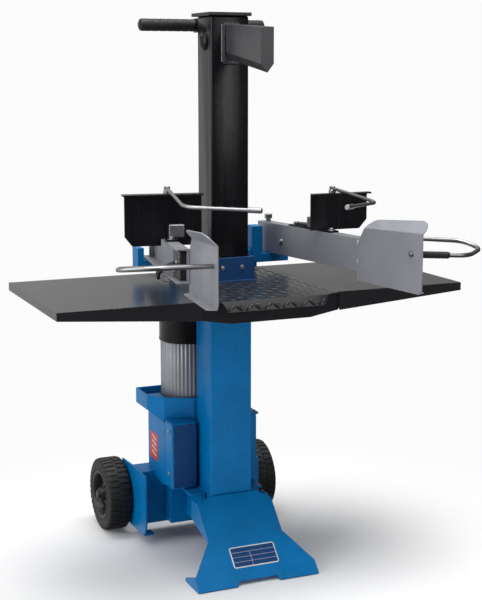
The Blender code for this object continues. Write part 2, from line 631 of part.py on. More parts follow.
def tread_plate():
    """The middle of the table: open round the column, with a sloping front lip and a deep apron."""
    lip = 0.026
    outline = [(-TREAD_X, TABLE_REAR), (-TREAD_X, TREAD_FRONT + 0.024), (-TREAD_X + 0.045, TREAD_FRONT),
               (TREAD_X - 0.045, TREAD_FRONT), (TREAD_X, TREAD_FRONT + 0.024), (TREAD_X, TABLE_REAR)]
    sheet = plate("tread_plate", outline, Matrix.Translation((0, 0, TABLE_Z - TABLE_SHEET / 2)), TABLE_SHEET,
                  TABLE_PAINT)
    lip_plane = plane_frame((0, TREAD_FRONT + 0.002, TABLE_Z - 0.0022), (1, 0, 0), (0, -0.45, -1))
    lip_outline = [(-TREAD_X + 0.045, 0.0), (TREAD_X - 0.045, 0.0), (TREAD_X - 0.060, lip),
                   (-TREAD_X + 0.060, lip)]
    join(sheet, plate("lip", lip_outline, lip_plane, 0.004, group=CUTTERS))
    apron = [(-TREAD_X, -0.003), (TREAD_X, -0.003), (TREAD_X, -0.048), (0.110, -0.062), (-0.110, -0.062),
             (-TREAD_X, -0.048)]
    for y in (-0.306, 0.150):
        upright = plane_frame((0, y, TABLE_Z), (1, 0, 0), (0, 0, 1))
        join(sheet, plate("apron", apron, upright, 0.005, group=CUTTERS))
    side = [(-0.308, -0.003), (0.151, -0.003), (0.151, -0.060), (-0.060, -0.100), (-0.308, -0.060)]
    for _, sign in both_sides():
        rib = plate("rib", side, plane_frame((sign * 0.0650, 0, TABLE_Z), *SIDE_PLANE), 0.005, group=CUTTERS)
        join(sheet, rib)
    cut_box(sheet, (-COLUMN_X - GAP, -COLUMN_Y - GAP, 0.6), (COLUMN_X + GAP, COLUMN_Y + GAP, 0.9))
    cut_box(sheet, (-COLLAR_X - GAP, -COLLAR_Y - GAP, TABLE_Z - TABLE_SHEET - GAP),
            (COLLAR_X + GAP, COLLAR_Y + GAP, 0.9))
    cut_hole(sheet, (0, ROCKER_Y, 0.770), (0, ROCKER_Y, 0.790), 2 * SPOOL_R, sides=16)
    return sheet


def table_collar():
    """The sleeve that clamps table and column together."""
    low, high = TABLE_Z - TABLE_SHEET, COLUMN_TOP_Z + 0.003
    collar = box("table_collar", (-COLLAR_X, -COLLAR_Y, low), (COLLAR_X, COLLAR_Y, high), NAVY)
    cut_box(collar, (-COLUMN_X - GAP, -COLUMN_Y - GAP, low - 0.01),
            (COLUMN_X + GAP, COLUMN_Y + GAP, high + 0.01))
    return collar


def hex_bolt(name, place, direction, mat, radius=0.0065, height=0.005, washer=0.0095):
    """A hexagon head on a washer, seated on a face."""
    direction = Vector(direction).normalized()
    seat = Vector(place) + direction * GAP
    head = cylinder(name, seat, seat + direction * 0.0015, washer, mat, sides=16)
    join(head, cylinder("hexagon", seat + direction * 0.001, seat + direction * (0.0015 + height), radius,
                        sides=6, group=CUTTERS))
    return head


# ---------------------------------------------------------------- control levers and arms
def crossbar():
    bar = box("control_crossbar", (-0.108, COLUMN_Y + GAP, 0.8110), (0.108, 0.106, 0.8500), BLUE)
    join(bar, cylinder("pivot_stub", (-0.150, *PRESS_AXIS), (0.150, *PRESS_AXIS), STUB_R, group=CUTTERS,
                       sides=20))
    cut_box(bar, (-COLLAR_X - 0.0005, 0.0, 0.80), (COLLAR_X + 0.0005, COLLAR_Y + GAP, 0.86))
    return bar


def lever_yoke(side, sign):
    """The rocking block on the cross bar; an arm's channel swings on its pin."""
    x0, x1 = sorted((sign * 0.1110, sign * 0.2230))
    yoke = box(f"lever_yoke_{side}", (x0, 0.060, 0.8115), (x1, 0.1060, 0.8360 - GAP), BLUE)
    x0, x1 = sorted((sign * 0.1110, sign * 0.1440))
    join(yoke, box("upright", (x0, 0.060, 0.8115), (x1, 0.1060, 0.9130), group=CUTTERS))
    x0, x1 = sorted((sign * 0.2055, sign * 0.2230))
    join(yoke, box("outer_block", (x0, 0.060, 0.8115), (x1, 0.1060, 0.8700), group=CUTTERS))
    x0, x1 = sorted((sign * 0.1110, sign * 0.1280))
    tail_low = ROCKER_TOP_Z + (GAP if side == "left" else TAIL_CLEARANCE)
    join(yoke, box("tail", (x0, ROCKER_Y - 0.006, tail_low), (x1, ROCKER_Y + 0.006, 0.8200), group=CUTTERS))
    cut_hole(yoke, (sign * 0.10, *PRESS_AXIS), (sign * 0.1505, *PRESS_AXIS), STUB_R + GAP, sides=20)
    return yoke


def swing_pin(side, sign):
    x, y = sign * SWING_PIN[0], SWING_PIN[1]
    pin = cylinder(f"swing_pin_{side}", (x, y, 0.8360), (x, y, 0.9360), 0.0070, ZINC, sides=20)
    join(pin, cylinder("head", (x, y, 0.9300), (x, y, 0.9420), 0.0110, group=CUTTERS, sides=6))
    return pin


def arm_basis(sign):
    """Directions of an arm: forward along it, and outward from its web."""
    rear = Vector((sign * ARM_REAR.x, ARM_REAR.y, 0))
    front = Vector((sign * ARM_FRONT.x, ARM_FRONT.y, 0))
    along = (front - rear).normalized()
    outward = Vector((-along.y, along.x, 0)) if sign > 0 else Vector((along.y, -along.x, 0))
    return rear, front, along, outward


def arm_box(name, sign, start, end, inner, outer, low, high, group=CUTTERS, mat=None):
    """A box laid along an arm: start and end along it, inner and outer across it."""
    rear, _, along, outward = arm_basis(sign)
    bm = bmesh.new()
    centre = rear + along * (start + end) / 2 + outward * (inner + outer) / 2
    centre.z = (low + high) / 2
    turn = Matrix((along, outward, Vector((0, 0, 1)))).transposed().to_4x4()
    size = Matrix.Diagonal((end - start, outer - inner, high - low, 1))
    bmesh.ops.create_cube(bm, size=1.0, matrix=Matrix.Translation(centre) @ turn @ size)
    return from_bmesh(name, bm, mat, group)


def arm_place(sign, along_by, out_by, z):
    rear, _, along, outward = arm_basis(sign)
    return rear + along * along_by + outward * out_by + Vector((0, 0, z))


def arm_channel(side, sign):
    """A folded channel, open to the outside, that carries guard, handle and claw."""
    length = (ARM_FRONT - ARM_REAR).length
    arm = arm_box(f"arm_{side}", sign, 0.0, length, 0.0, ARM_FLANGE, ARM_LOW_Z, ARM_TOP_Z, MODEL, SILVER)
    cut(arm, arm_box("arm_hollow", sign, 0.070, length + 0.01, ARM_SHEET, 0.1,
                     ARM_LOW_Z + ARM_SHEET, ARM_TOP_Z - ARM_SHEET))
    cut(arm, arm_box("arm_fork", sign, -0.01, 0.071, ARM_SHEET + 0.001, 0.1,
                     ARM_LOW_Z + ARM_SHEET, ARM_TOP_Z - ARM_SHEET))
    x, y = sign * SWING_PIN[0], SWING_PIN[1]
    cut_hole(arm, (x, y, 0.8), (x, y, 1.0), 0.0070 + GAP, sides=20)
    return arm


def hand_guard(side, sign):
    """The shield between log and hand: a sheet in line with the arm, its top leaning outward."""
    rear, front = Vector((sign * 0.2280, -0.3370, 0)), Vector((sign * 0.2610, -0.5950, 0))
    along = (front - rear).normalized()
    outward = Vector((-along.y, along.x, 0)) * sign
    length, low, sheet = (front - rear).length, 0.814, 0.003
    # outlines: x along the guard from its rear edge, y up or outward
    outline = [(0.0, 0.0), (length - 0.012, 0.0), (length, 0.012), (length, 0.146), (0.028, 0.136),
               (0.0, 0.096)]
    base = rear + Vector((0, 0, low))
    guard = plate(f"hand_guard_{side}", outline, plane_frame(base, along, (0, 0, 1)), sheet, SILVER)
    brow_start = base + along * 0.028 + Vector((0, 0, 0.1355))
    run = length - 0.028
    brow = [(0.0, 0.0), (run, 0.0), (run, 0.012), (run - 0.005, 0.024), (run - 0.014, 0.034),
            (run - 0.030, 0.040), (0.034, 0.031), (0.018, 0.026), (0.006, 0.014)]
    rise = (along * run + Vector((0, 0, 0.010))).normalized()
    lean = (outward + Vector((0, 0, 1))).normalized()
    join(guard, plate("brow", brow, plane_frame(brow_start, rise, lean), sheet, group=CUTTERS))
    toe = [(0.020, 0.0), (length - 0.012, 0.0), (length - 0.020, 0.022), (0.030, 0.022)]
    toe_base = base + Vector((0, 0, sheet / 2))
    join(guard, plate("toe", toe, plane_frame(toe_base, along, outward), sheet, group=CUTTERS))
    start, bend = handle_path(sign)[:2]
    cut_hole(guard, start, bend, HANDLE_R + 2 * GAP, sides=16)
    return guard


def handle_path(sign):
    """The handle's loop; the left one hangs a little lower and flatter."""
    plan = ((0.248, -0.556), (0.400, -0.582), (0.470, -0.525), (0.450, -0.475), (0.305, -0.430),
            (0.242, -0.418))
    right = (0.908, 0.900, 0.906, 0.920, 0.930, 0.920)
    left = (0.910, 0.917, 0.910, 0.904, 0.894, 0.890)
    return [(sign * x, y, z) for (x, y), z in zip(plan, right if sign > 0 else left)]


def handle_bail(side, sign):
    """The control handle: a bar through the guard, round in a loop and back to the guard's outer face."""
    return bent_rod(f"handle_bail_{side}", handle_path(sign), HANDLE_R, ZINC, corner=0.030)


# ---------------------------------------------------------------- claws
def claw_plate(side, sign):
    """The upright plate on an arm's slide strap, with its top folded forward."""
    name, sheet = f"claw_plate_{side}", 0.004
    if side == "right":       # square to the machine
        inner, outer, low, high, y = 0.1740, 0.3400, 0.9250, 1.0200, -0.1760
        outline = [(inner, low), (inner, high), (outer, high), (outer, low + 0.024), (outer - 0.022, low)]
        claw = plate(name, outline, plane_frame((0, y, 0), (1, 0, 0), (0, 0, 1)), sheet, BLACK)
        join(claw, box("top_fold", (inner, y - 0.018, high - sheet / 2), (outer + 0.005, y + 0.0018,
                                                                          high + sheet / 2), group=CUTTERS))
    else:                     # larger, square to its arm and notched over it
        low, high, place = 0.907, 1.036, 0.300
        outline = [(-0.068, low), (-0.068, high), (0.128, high), (0.128, low + 0.024), (0.109, low),
                   (0.036, low), (0.036, 0.9245), (-0.004, 0.9245), (-0.004, low)]
        _, _, _, outward = arm_basis(sign)
        claw = plate(name, outline, plane_frame(arm_place(sign, place, 0, 0), outward, (0, 0, 1)), sheet,
                     BLACK)
        join(claw, arm_box("top_fold", sign, place - 0.0018, place + 0.030, -0.068, 0.135, high - sheet / 2,
                           high + sheet / 2))
    join(claw, arm_box("slide_strap", sign, 0.150, 0.340, 0.002, 0.030, ARM_TOP_Z + GAP, ARM_TOP_Z + 0.0050))
    return claw


def claw_clamp(side, sign):
    """The clamp block and set lever that hold the claw on its arm."""
    low = ARM_TOP_Z + 0.0050 + GAP
    block = arm_box(f"claw_clamp_{side}", sign, 0.2350, 0.2800, 0.002, 0.030, low, low + 0.028, MODEL, ZINC)
    start = arm_place(sign, 0.2575, 0.016, low + 0.026)
    join(block, cylinder("stud", start, start + Vector((0, 0, 0.016)), 0.006, group=CUTTERS, sides=16))
    return block


def claw_rod(side, sign):
    """The bent log rod on top of the claw plate; it stands in the plate's fold and drops towards its tip."""
    foot = 1.0226 if side == "right" else 1.0386
    knee, tip = ((0.262, -0.370, 1.014), 1.020) if side == "right" else ((0.254, -0.368, 1.024), 1.022)
    points = [(0.230, -0.190, foot), (0.230, -0.190, foot + 0.0124), (0.234, -0.215, foot + 0.0104), knee,
              (0.111, -0.496, tip)]
    return bent_rod(f"claw_rod_{side}", [(sign * x, y, z) for x, y, z in points], 0.0045, ZINC, corner=0.028)


# ---------------------------------------------------------------- assembly
def assemble():
    settle(MACHINE, lower_column(), foot_plate(), base_frame(), column_seat(), axle(), tank(), tank_lid(),
           switch_box(), motor_tray(), motor(), fan_cover(), filler_cap(), valve_block(), switch_unit(),
           cylinder_barrel(), tread_plate(), table_collar(), crossbar())
    for side, sign in both_sides():
        settle(MACHINE, foot_gusset(side, sign), axle_bracket(side, sign), table_wing(side, sign),
               hex_bolt(f"collar_bolt_{side}", (sign * 0.028, -COLLAR_Y, 0.822), (0, -1, 0), ZINC))

    ram = pivot("ram_axis", (0, 0, MAST_FOOT_Z))
    settle(ram, mast(), mast_cap(), cross_bolt(), knife(), transport_bracket(), transport_bar(), piston_rod(),
           piston(), *(transport_grip(side, sign) for side, sign in both_sides()))

    settle(pivot("valve_axis", (0, ROCKER_Y, ROCKER_TOP_Z)), valve_rocker())
    settle(pivot("fan_axis", (MOTOR_X, MOTOR_Y, FAN_Z)), motor_fan())

    for z, name, mat in zip(BUTTON_Z, ("start_button", "stop_button"), (GREEN, RED)):
        settle(pivot(f"{name}_axis", (BUTTON_X, TANK_Y1, z)), push_button(name, z, mat))

    for side, sign in both_sides():
        settle(pivot(f"wheel_axis_{side}", (0, AXLE_Y, WHEEL_R)), *wheel(side, sign))
        press = pivot(f"press_axis_{side}", (0, *PRESS_AXIS))
        settle(press, lever_yoke(side, sign), swing_pin(side, sign))
        swing_place = (sign * SWING_PIN[0], SWING_PIN[1], ARM_LOW_Z)
        swing = pivot(f"swing_axis_{side}", swing_place, press)
        settle(swing, arm_channel(side, sign), hand_guard(side, sign), handle_bail(side, sign))
        slide = pivot(f"claw_axis_{side}", (sign * 0.220, -0.176, ARM_TOP_Z), swing)
        settle(slide, claw_plate(side, sign), claw_clamp(side, sign))
        settle(pivot(f"rod_axis_{side}", (sign * 0.230, -0.190, 1.022), slide), claw_rod(side, sign))
    MACHINE.location.y = ORIGIN_SHIFT_Y


assemble()
bpy.context.view_layer.update()
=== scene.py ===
"""Looks of the upright log splitter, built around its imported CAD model."""

import json
import math

import bmesh
import bpy
from mathutils import Matrix, Vector


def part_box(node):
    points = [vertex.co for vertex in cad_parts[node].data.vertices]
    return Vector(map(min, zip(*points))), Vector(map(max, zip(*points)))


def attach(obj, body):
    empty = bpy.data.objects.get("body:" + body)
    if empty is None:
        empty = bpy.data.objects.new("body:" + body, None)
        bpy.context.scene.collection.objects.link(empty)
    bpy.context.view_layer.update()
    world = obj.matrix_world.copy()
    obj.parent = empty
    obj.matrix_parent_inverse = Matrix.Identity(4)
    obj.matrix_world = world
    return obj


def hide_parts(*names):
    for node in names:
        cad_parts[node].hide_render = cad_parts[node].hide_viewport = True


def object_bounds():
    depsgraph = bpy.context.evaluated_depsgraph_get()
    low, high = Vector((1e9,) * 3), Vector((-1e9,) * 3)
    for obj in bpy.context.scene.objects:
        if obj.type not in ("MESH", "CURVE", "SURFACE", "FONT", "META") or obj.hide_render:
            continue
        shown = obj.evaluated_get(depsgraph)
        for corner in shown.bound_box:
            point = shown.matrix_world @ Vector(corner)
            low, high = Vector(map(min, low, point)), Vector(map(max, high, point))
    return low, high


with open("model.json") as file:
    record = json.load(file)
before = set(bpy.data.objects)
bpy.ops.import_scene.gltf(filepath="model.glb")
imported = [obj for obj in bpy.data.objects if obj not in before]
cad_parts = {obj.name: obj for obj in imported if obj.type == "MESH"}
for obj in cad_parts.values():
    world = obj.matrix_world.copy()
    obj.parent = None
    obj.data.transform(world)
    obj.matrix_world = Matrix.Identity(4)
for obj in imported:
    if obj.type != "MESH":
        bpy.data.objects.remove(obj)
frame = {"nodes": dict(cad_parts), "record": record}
cad_low, cad_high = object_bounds()
NODES = frame["nodes"]
BODY_OF = {node: body for body, nodes in frame["record"]["behaviour"]["bodies"].items() for node in nodes}
SLOT_OF = {part["node"]: part["material_slot"] for part in frame["record"]["subparts"]}
SIDES = (("left", -1), ("right", 1))
UP, REAR, FRONT = Vector((0, 0, 1)), Vector((0, 1, 0)), Vector((0, -1, 0))

# ---------------------------------------------------------------- driving sizes
column_low, column_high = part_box("lower_column")
AXIS_X = (column_low.x + column_high.x) / 2      # axis of the splitting column
AXIS_Y = (column_low.y + column_high.y) / 2
COLUMN_X, COLUMN_Y = (column_high.x - column_low.x) / 2, (column_high.y - column_low.y) / 2


def at(x, y, z):
    """A point given from the column's axis and the floor."""
    return Vector((AXIS_X + x, AXIS_Y + y, z))


# ---------------------------------------------------------------- camera, floor and light
CAMERA_AZIMUTH, CAMERA_TILT = math.radians(23.41), math.radians(10.21)
CAMERA_PLACE = at(-1.327, -3.185, 1.345)
CAMERA_LENS, SENSOR_WIDTH = 96.19, 36.0
PALE = (0.97, 0.97, 0.975)


def add_camera():
    data = bpy.data.cameras.new("camera")
    data.sensor_fit = "HORIZONTAL"
    data.sensor_width = SENSOR_WIDTH
    data.lens = CAMERA_LENS
    camera = bpy.data.objects.new("camera", data)
    bpy.context.scene.collection.objects.link(camera)
    camera.location = CAMERA_PLACE
    camera.rotation_euler = (math.radians(90) - CAMERA_TILT, 0, -CAMERA_AZIMUTH)
    bpy.context.scene.camera = camera


def add_area(name, place, aim, size, power):
    data = bpy.data.lights.new(name, "AREA")
    data.shape = "RECTANGLE"
    data.size, data.size_y = size
    data.energy = power
    lamp = bpy.data.objects.new(name, data)
    bpy.context.scene.collection.objects.link(lamp)
    lamp.location = place
    lamp.rotation_euler = (Vector(aim) - Vector(place)).to_track_quat("-Z", "Y").to_euler()


def add_lights():
    middle = (cad_low + cad_high) / 2
    add_area("softbox_left", middle + Vector((-4.2, -0.9, 1.6)), middle, (2.6, 2.6), 62)
    add_area("softbox_top", middle + Vector((0.3, -0.3, 4.2)), middle, (3.4, 3.4), 205)
    add_area("softbox_front", middle + Vector((1.6, -4.4, 1.6)), middle, (2.0, 2.4), 36)
    sun_data = bpy.data.lights.new("soft_sun", "SUN")
    sun_data.energy = 1.2
    sun_data.angle = math.radians(50)
    sun = bpy.data.objects.new("soft_sun", sun_data)
    bpy.context.scene.collection.objects.link(sun)
    sun.rotation_euler = Vector((0.35, 0.25, -1)).to_track_quat("-Z", "Y").to_euler()


def add_world():
    """A pale studio: bright behind and to the left, dark in front, as gloss paint shows it."""
    world = bpy.data.worlds.new("studio")
    bpy.context.scene.world = world
    world.use_nodes = True
    tree = world.node_tree
    tree.nodes.clear()
    where = tree.nodes.new("ShaderNodeTexCoord")
    lobe = tree.nodes.new("ShaderNodeVectorMath")
    lobe.operation = "DOT_PRODUCT"
    lobe.inputs[1].default_value = Vector((-0.75, 0.62, 0.22)).normalized()
    tree.links.new(where.outputs["Generated"], lobe.inputs[0])
    ramp = tree.nodes.new("ShaderNodeMapRange")
    ramp.interpolation_type = "SMOOTHSTEP"
    ramp.inputs["From Min"].default_value = -0.35
    ramp.inputs["From Max"].default_value = 0.85
    ramp.inputs["To Min"].default_value = 0.09
    ramp.inputs["To Max"].default_value = 0.85
    tree.links.new(lobe.outputs["Value"], ramp.inputs["Value"])
    studio = tree.nodes.new("ShaderNodeBackground")
    path = tree.nodes.new("ShaderNodeLightPath")
    share = tree.nodes.new("ShaderNodeMapRange")          # the surroundings light less than they reflect
    share.inputs["To Min"].default_value = 0.50
    tree.links.new(path.outputs["Is Glossy Ray"], share.inputs["Value"])
    strength = tree.nodes.new("ShaderNodeMath")
    strength.operation = "MULTIPLY"
    tree.links.new(ramp.outputs["Result"], strength.inputs[0])
    tree.links.new(share.outputs["Result"], strength.inputs[1])
    tree.links.new(strength.outputs[0], studio.inputs["Strength"])
    backdrop = tree.nodes.new("ShaderNodeBackground")
    backdrop.inputs["Color"].default_value = (*PALE, 1)
    mix = tree.nodes.new("ShaderNodeMixShader")
    out = tree.nodes.new("ShaderNodeOutputWorld")
    tree.links.new(path.outputs["Is Camera Ray"], mix.inputs["Fac"])
    tree.links.new(studio.outputs[0], mix.inputs[1])
    tree.links.new(backdrop.outputs[0], mix.inputs[2])
    tree.links.new(mix.outputs[0], out.inputs["Surface"])


def add_floor():
    """A wide disc: matt and pale under the object, fading into the colour of the backdrop."""
    bm = bmesh.new()
    bmesh.ops.create_circle(bm, cap_ends=True, segments=64, radius=40)
    mesh = bpy.data.meshes.new("floor")
    bm.to_mesh(mesh)
    bm.free()
    floor = bpy.data.objects.new("floor", mesh)
    bpy.context.scene.collection.objects.link(floor)
    mat = bpy.data.materials.new("floor_pale")
    mat.use_nodes = True
    tree = mat.node_tree
    shader = tree.nodes["Principled BSDF"]
    shader.inputs["Base Color"].default_value = (0.90, 0.90, 0.905, 1)
    shader.inputs["Roughness"].default_value = 0.9
    where = tree.nodes.new("ShaderNodeTexCoord")
    reach = tree.nodes.new("ShaderNodeVectorMath")
    reach.operation = "LENGTH"
    tree.links.new(where.outputs["Object"], reach.inputs[0])
    fade = tree.nodes.new("ShaderNodeMapRange")
    fade.interpolation_type = "SMOOTHSTEP"
    fade.inputs["From Min"].default_value = 0.30
    fade.inputs["From Max"].default_value = 1.25
    tree.links.new(reach.outputs["Value"], fade.inputs["Value"])
    glow = tree.nodes.new("ShaderNodeEmission")
    glow.inputs["Color"].default_value = (*PALE, 1)
    mix = tree.nodes.new("ShaderNodeMixShader")
    tree.links.new(fade.outputs["Result"], mix.inputs["Fac"])
    tree.links.new(shader.outputs[0], mix.inputs[1])
    tree.links.new(glow.outputs[0], mix.inputs[2])
    tree.links.new(mix.outputs[0], tree.nodes["Material Output"].inputs["Surface"])
    mesh.materials.append(mat)
    floor.visible_glossy = False


bpy.context.scene.view_settings.view_transform = "Standard"
add_camera()
add_lights()
add_world()
add_floor()


# ---------------------------------------------------------------- materials
class Graph:
    """A material's node tree, with short calls for the nodes that the finishes share."""

    def __init__(self, name):
        self.material = bpy.data.materials.new(name)
        self.material.use_nodes = True
        self.tree = self.material.node_tree
        self.shader = self.tree.nodes["Principled BSDF"]
        self.place = self.node("ShaderNodeTexCoord").outputs["Object"]

    def node(self, kind, inputs=None, **settings):
        made = self.tree.nodes.new(kind)
        for key, value in settings.items():
            setattr(made, key, value)
        for key, value in (inputs or {}).items():
            self.feed(made.inputs[key], value)
        return made

    def feed(self, socket, value):
        if isinstance(value, bpy.types.NodeSocket):
            self.tree.links.new(value, socket)
        else:
            socket.default_value = value

    def stretched(self, scale):
        return self.node("ShaderNodeMapping", {"Vector": self.place, "Scale": scale}).outputs["Vector"]

    def noise(self, scale, detail=3.0, where=None, roughness=0.55):
        return self.node("ShaderNodeTexNoise", {
            "Vector": where or self.place, "Scale": scale, "Detail": detail,
            "Roughness": roughness}).outputs["Fac"]

    def span(self, value, from_low, from_high, to_low=0.0, to_high=1.0):
        return self.node("ShaderNodeMapRange", {"Value": value, "From Min": from_low, "From Max": from_high,
                                                "To Min": to_low, "To Max": to_high}).outputs["Result"]

    def math(self, operation, first, second=0.0, clamp=False):
        return self.node("ShaderNodeMath", {0: first, 1: second}, operation=operation,
                         use_clamp=clamp).outputs["Value"]

    def mix(self, factor, first, second, blend="MIX"):
        made = self.node("ShaderNodeMix", data_type="RGBA", blend_type=blend)
        self.feed(made.inputs[0], factor)
        self.feed(made.inputs[6], (*first, 1) if isinstance(first, tuple) else first)
        self.feed(made.inputs[7], (*second, 1) if isinstance(second, tuple) else second)
        return made.outputs[2]

    def edges(self, radius):
        """1 along the sharp edges, 0 on flat faces; also the rounded normal there."""
        rounded = self.node("ShaderNodeBevel", {"Radius": radius}, samples=4).outputs["Normal"]
        true_normal = self.node("ShaderNodeNewGeometry").outputs["Normal"]
        alike = self.node("ShaderNodeVectorMath", {0: rounded, 1: true_normal},
                          operation="DOT_PRODUCT").outputs["Value"]
        return self.span(alike, 0.995, 0.80), rounded

    def upward(self):
        normal = self.node("ShaderNodeNewGeometry").outputs["Normal"]
        split = self.node("ShaderNodeSeparateXYZ", {"Vector": normal})
        return self.span(split.outputs["Z"], 0.5, 1.0)


EDGE_RADIUS = 0.0012              # how far in from an edge the paint is worn
GRAIN_HEIGHT = 0.0006
DUST = (0.36, 0.35, 0.33)


def shade(colour, factor):
    return tuple(min(1.0, c * factor) for c in colour)


def finish(name, colour, roughness, metallic=0.0, spread=0.10, grain=700.0, bump=0.10, streaks=None,
           streak_gain=1.9, wear=None, wear_amount=0.5, dust=0.0, specular=0.5, rough_spread=0.07):
    """A painted, plated or moulded surface: soft colour drift, fine grain, worn edges and dust."""
    g = Graph(name)
    drift = g.noise(11.0, 4.0)
    mottled = g.mix(g.span(drift, 0.32, 0.70), shade(colour, 1 - spread), shade(colour, 1 + spread))
    edge_mask, rounded = g.edges(EDGE_RADIUS)
    rough = g.span(g.noise(38.0, 5.0), 0.3, 0.7, roughness - rough_spread, roughness + rough_spread)
    if streaks:
        run = g.noise(1.0, 4.0, g.stretched(streaks), 0.6)
        rough = g.math("ADD", rough, g.span(run, 0.35, 0.72, -0.04, 0.10))
        mottled = g.mix(g.span(run, 0.50, 0.78, 0.0, 0.55), mottled, shade(colour, streak_gain))
    if wear:
        patches = g.span(g.noise(85.0, 5.0, roughness=0.7), 0.44, 0.60)
        amount = g.math("MULTIPLY", g.math("MULTIPLY", edge_mask, patches), wear_amount, clamp=True)
        mottled = g.mix(amount, mottled, wear)
    if dust:
        patchy = g.span(g.noise(26.0, 6.0, roughness=0.7), 0.35, 0.75, 0.0, dust)
        settled = g.math("MULTIPLY", g.upward(), patchy)
        mottled = g.mix(settled, mottled, DUST)
        rough = g.math("ADD", rough, g.math("MULTIPLY", settled, 0.5))
    g.feed(g.shader.inputs["Base Color"], mottled)
    g.feed(g.shader.inputs["Roughness"], g.math("MAXIMUM", rough, 0.06, clamp=True))
    g.shader.inputs["Metallic"].default_value = metallic
    g.shader.inputs["Specular IOR Level"].default_value = specular
    height = g.noise(grain, 2.0)
    g.feed(g.shader.inputs["Normal"], g.node("ShaderNodeBump", {
        "Strength": bump, "Distance": GRAIN_HEIGHT, "Height": height, "Normal": rounded}).outputs["Normal"])
    return g.material


BARE = (0.42, 0.42, 0.43)
FINISHES = {
    "blue_paint": finish("blue_paint", (0.0, 0.172, 0.455), 0.33, wear=BARE, wear_amount=0.25, dust=0.04,
                         specular=0.16),
    "navy_paint": finish("navy_paint", (0.008, 0.058, 0.185), 0.32, wear=BARE, wear_amount=0.25, dust=0.04,
                         specular=0.20),
    "black_paint": finish("black_paint", (0.0045, 0.0045, 0.0062), 0.25, streaks=(55.0, 55.0, 1.6), wear=BARE,
                          wear_amount=0.40, specular=0.30, rough_spread=0.03),
    "knife_paint": finish("knife_paint", (0.040, 0.040, 0.044), 0.34, spread=0.06, wear=BARE,
                          wear_amount=0.45, specular=0.45, rough_spread=0.03),
    "table_paint": finish("table_paint", (0.014, 0.014, 0.0165), 0.22, spread=0.06, wear=BARE,
                          wear_amount=0.40, dust=0.03, specular=0.52, bump=0.04, rough_spread=0.02),
    "silver_paint": finish("silver_paint", (0.300, 0.308, 0.340), 0.38, metallic=0.25, spread=0.06, dust=0.04,
                           wear=(0.62, 0.62, 0.64), wear_amount=0.5),
    "zinc_steel": finish("zinc_steel", (0.36, 0.36, 0.37), 0.34, metallic=1.0, spread=0.12, grain=900,
                         bump=0.08),
    "bright_steel": finish("bright_steel", (0.62, 0.62, 0.63), 0.22, metallic=1.0, spread=0.08,
                           streaks=(260.0, 260.0, 6.0), streak_gain=1.3),
    "cast_aluminium": finish("cast_aluminium", (0.37, 0.38, 0.41), 0.42, metallic=0.60, spread=0.06,
                             grain=1200, bump=0.20),
    "black_rubber": finish("black_rubber", (0.016, 0.016, 0.018), 0.55, grain=1500, bump=0.35, specular=0.35),
    "tyre_rubber": finish("tyre_rubber", (0.014, 0.014, 0.0155), 0.58, grain=1100, bump=0.4, dust=0.15,
                          specular=0.40),
    "black_plastic": finish("black_plastic", (0.014, 0.014, 0.016), 0.38, grain=1600, bump=0.25,
                            specular=0.45),
    "red_plastic": finish("red_plastic", (0.60, 0.030, 0.022), 0.34, spread=0.08),
    "green_plastic": finish("green_plastic", (0.015, 0.30, 0.06), 0.34, spread=0.08),
    "label_white": finish("label_white", (0.78, 0.78, 0.78), 0.40, spread=0.04, bump=0.05),
}


def paint_cad():
    """Every CAD node takes the finish of its slot in the record."""
    for node, slot in SLOT_OF.items():
        NODES[node].data.materials.clear()
        NODES[node].data.materials.append(FINISHES[slot])


# ---------------------------------------------------------------- mesh building
def dress(piece, body, slot, stands_for=(), bevel=0.0, angle=35.0, look=None, segments=2):
    """Link a piece, round its edges, shade it, give it the finish of its slot, parent it to its body and hide
    the CAD nodes it stands for.
    """
    bpy.context.scene.collection.objects.link(piece)
    piece.data.materials.clear()
    piece.data.materials.append(FINISHES[look or slot])
    piece.data.shade_smooth()
    piece.data.set_sharp_from_angle(angle=math.radians(angle))
    if bevel:
        edges = piece.modifiers.new("edges", "BEVEL")
        edges.width, edges.segments = bevel, segments
        edges.limit_method, edges.angle_limit = "ANGLE", math.radians(30)
        edges.harden_normals = True
        flat = piece.modifiers.new("flat_faces", "WEIGHTED_NORMAL")
        flat.keep_sharp = True
        flat.weight = 100
        bpy.context.view_layer.update()
        rounded = bpy.data.meshes.new_from_object(piece.evaluated_get(bpy.context.evaluated_depsgraph_get()))
        piece.modifiers.clear()
        piece.data = rounded
    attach(piece, body)
    if stands_for:
        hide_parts(*stands_for)
    return piece


def skin(node, bevel, segments=2, look=None):
    """The CAD node's own shape with its sharp edges rounded, standing for it."""
    bm = bmesh.new()
    bm.from_mesh(NODES[node].data)
    bmesh.ops.remove_doubles(bm, verts=bm.verts, dist=0.00002)
    bmesh.ops.dissolve_limit(bm, angle_limit=math.radians(1), verts=bm.verts, edges=bm.edges)
    mesh = bpy.data.meshes.new(f"{node}_skin")
    bm.to_mesh(mesh)
    bm.free()
    return dress(bpy.data.objects.new(f"{node}_skin", mesh), BODY_OF[node], SLOT_OF[node], (node,), bevel,
                 look=look, segments=segments)


def soft_path(points, radius, steps=8):
    """An open path with each inner corner rounded."""
    points = [Vector(point) for point in points]
    path = [points[0]]
    for before, corner, after in zip(points, points[1:], points[2:]):
        reach = min(radius, (before - corner).length * 0.48, (after - corner).length * 0.48)
        start = corner + (before - corner).normalized() * reach
        end = corner + (after - corner).normalized() * reach
        shares = [step / steps for step in range(steps + 1)]
        path += [start.lerp(corner, t).lerp(corner.lerp(end, t), t) for t in shares]
    return path + [points[-1]]


def axis_place(centre, axis):
    """A frame at a point, its local Z along an axis."""
    return Matrix.Translation(centre) @ Vector(axis).to_track_quat("Z", "Y").to_matrix().to_4x4()


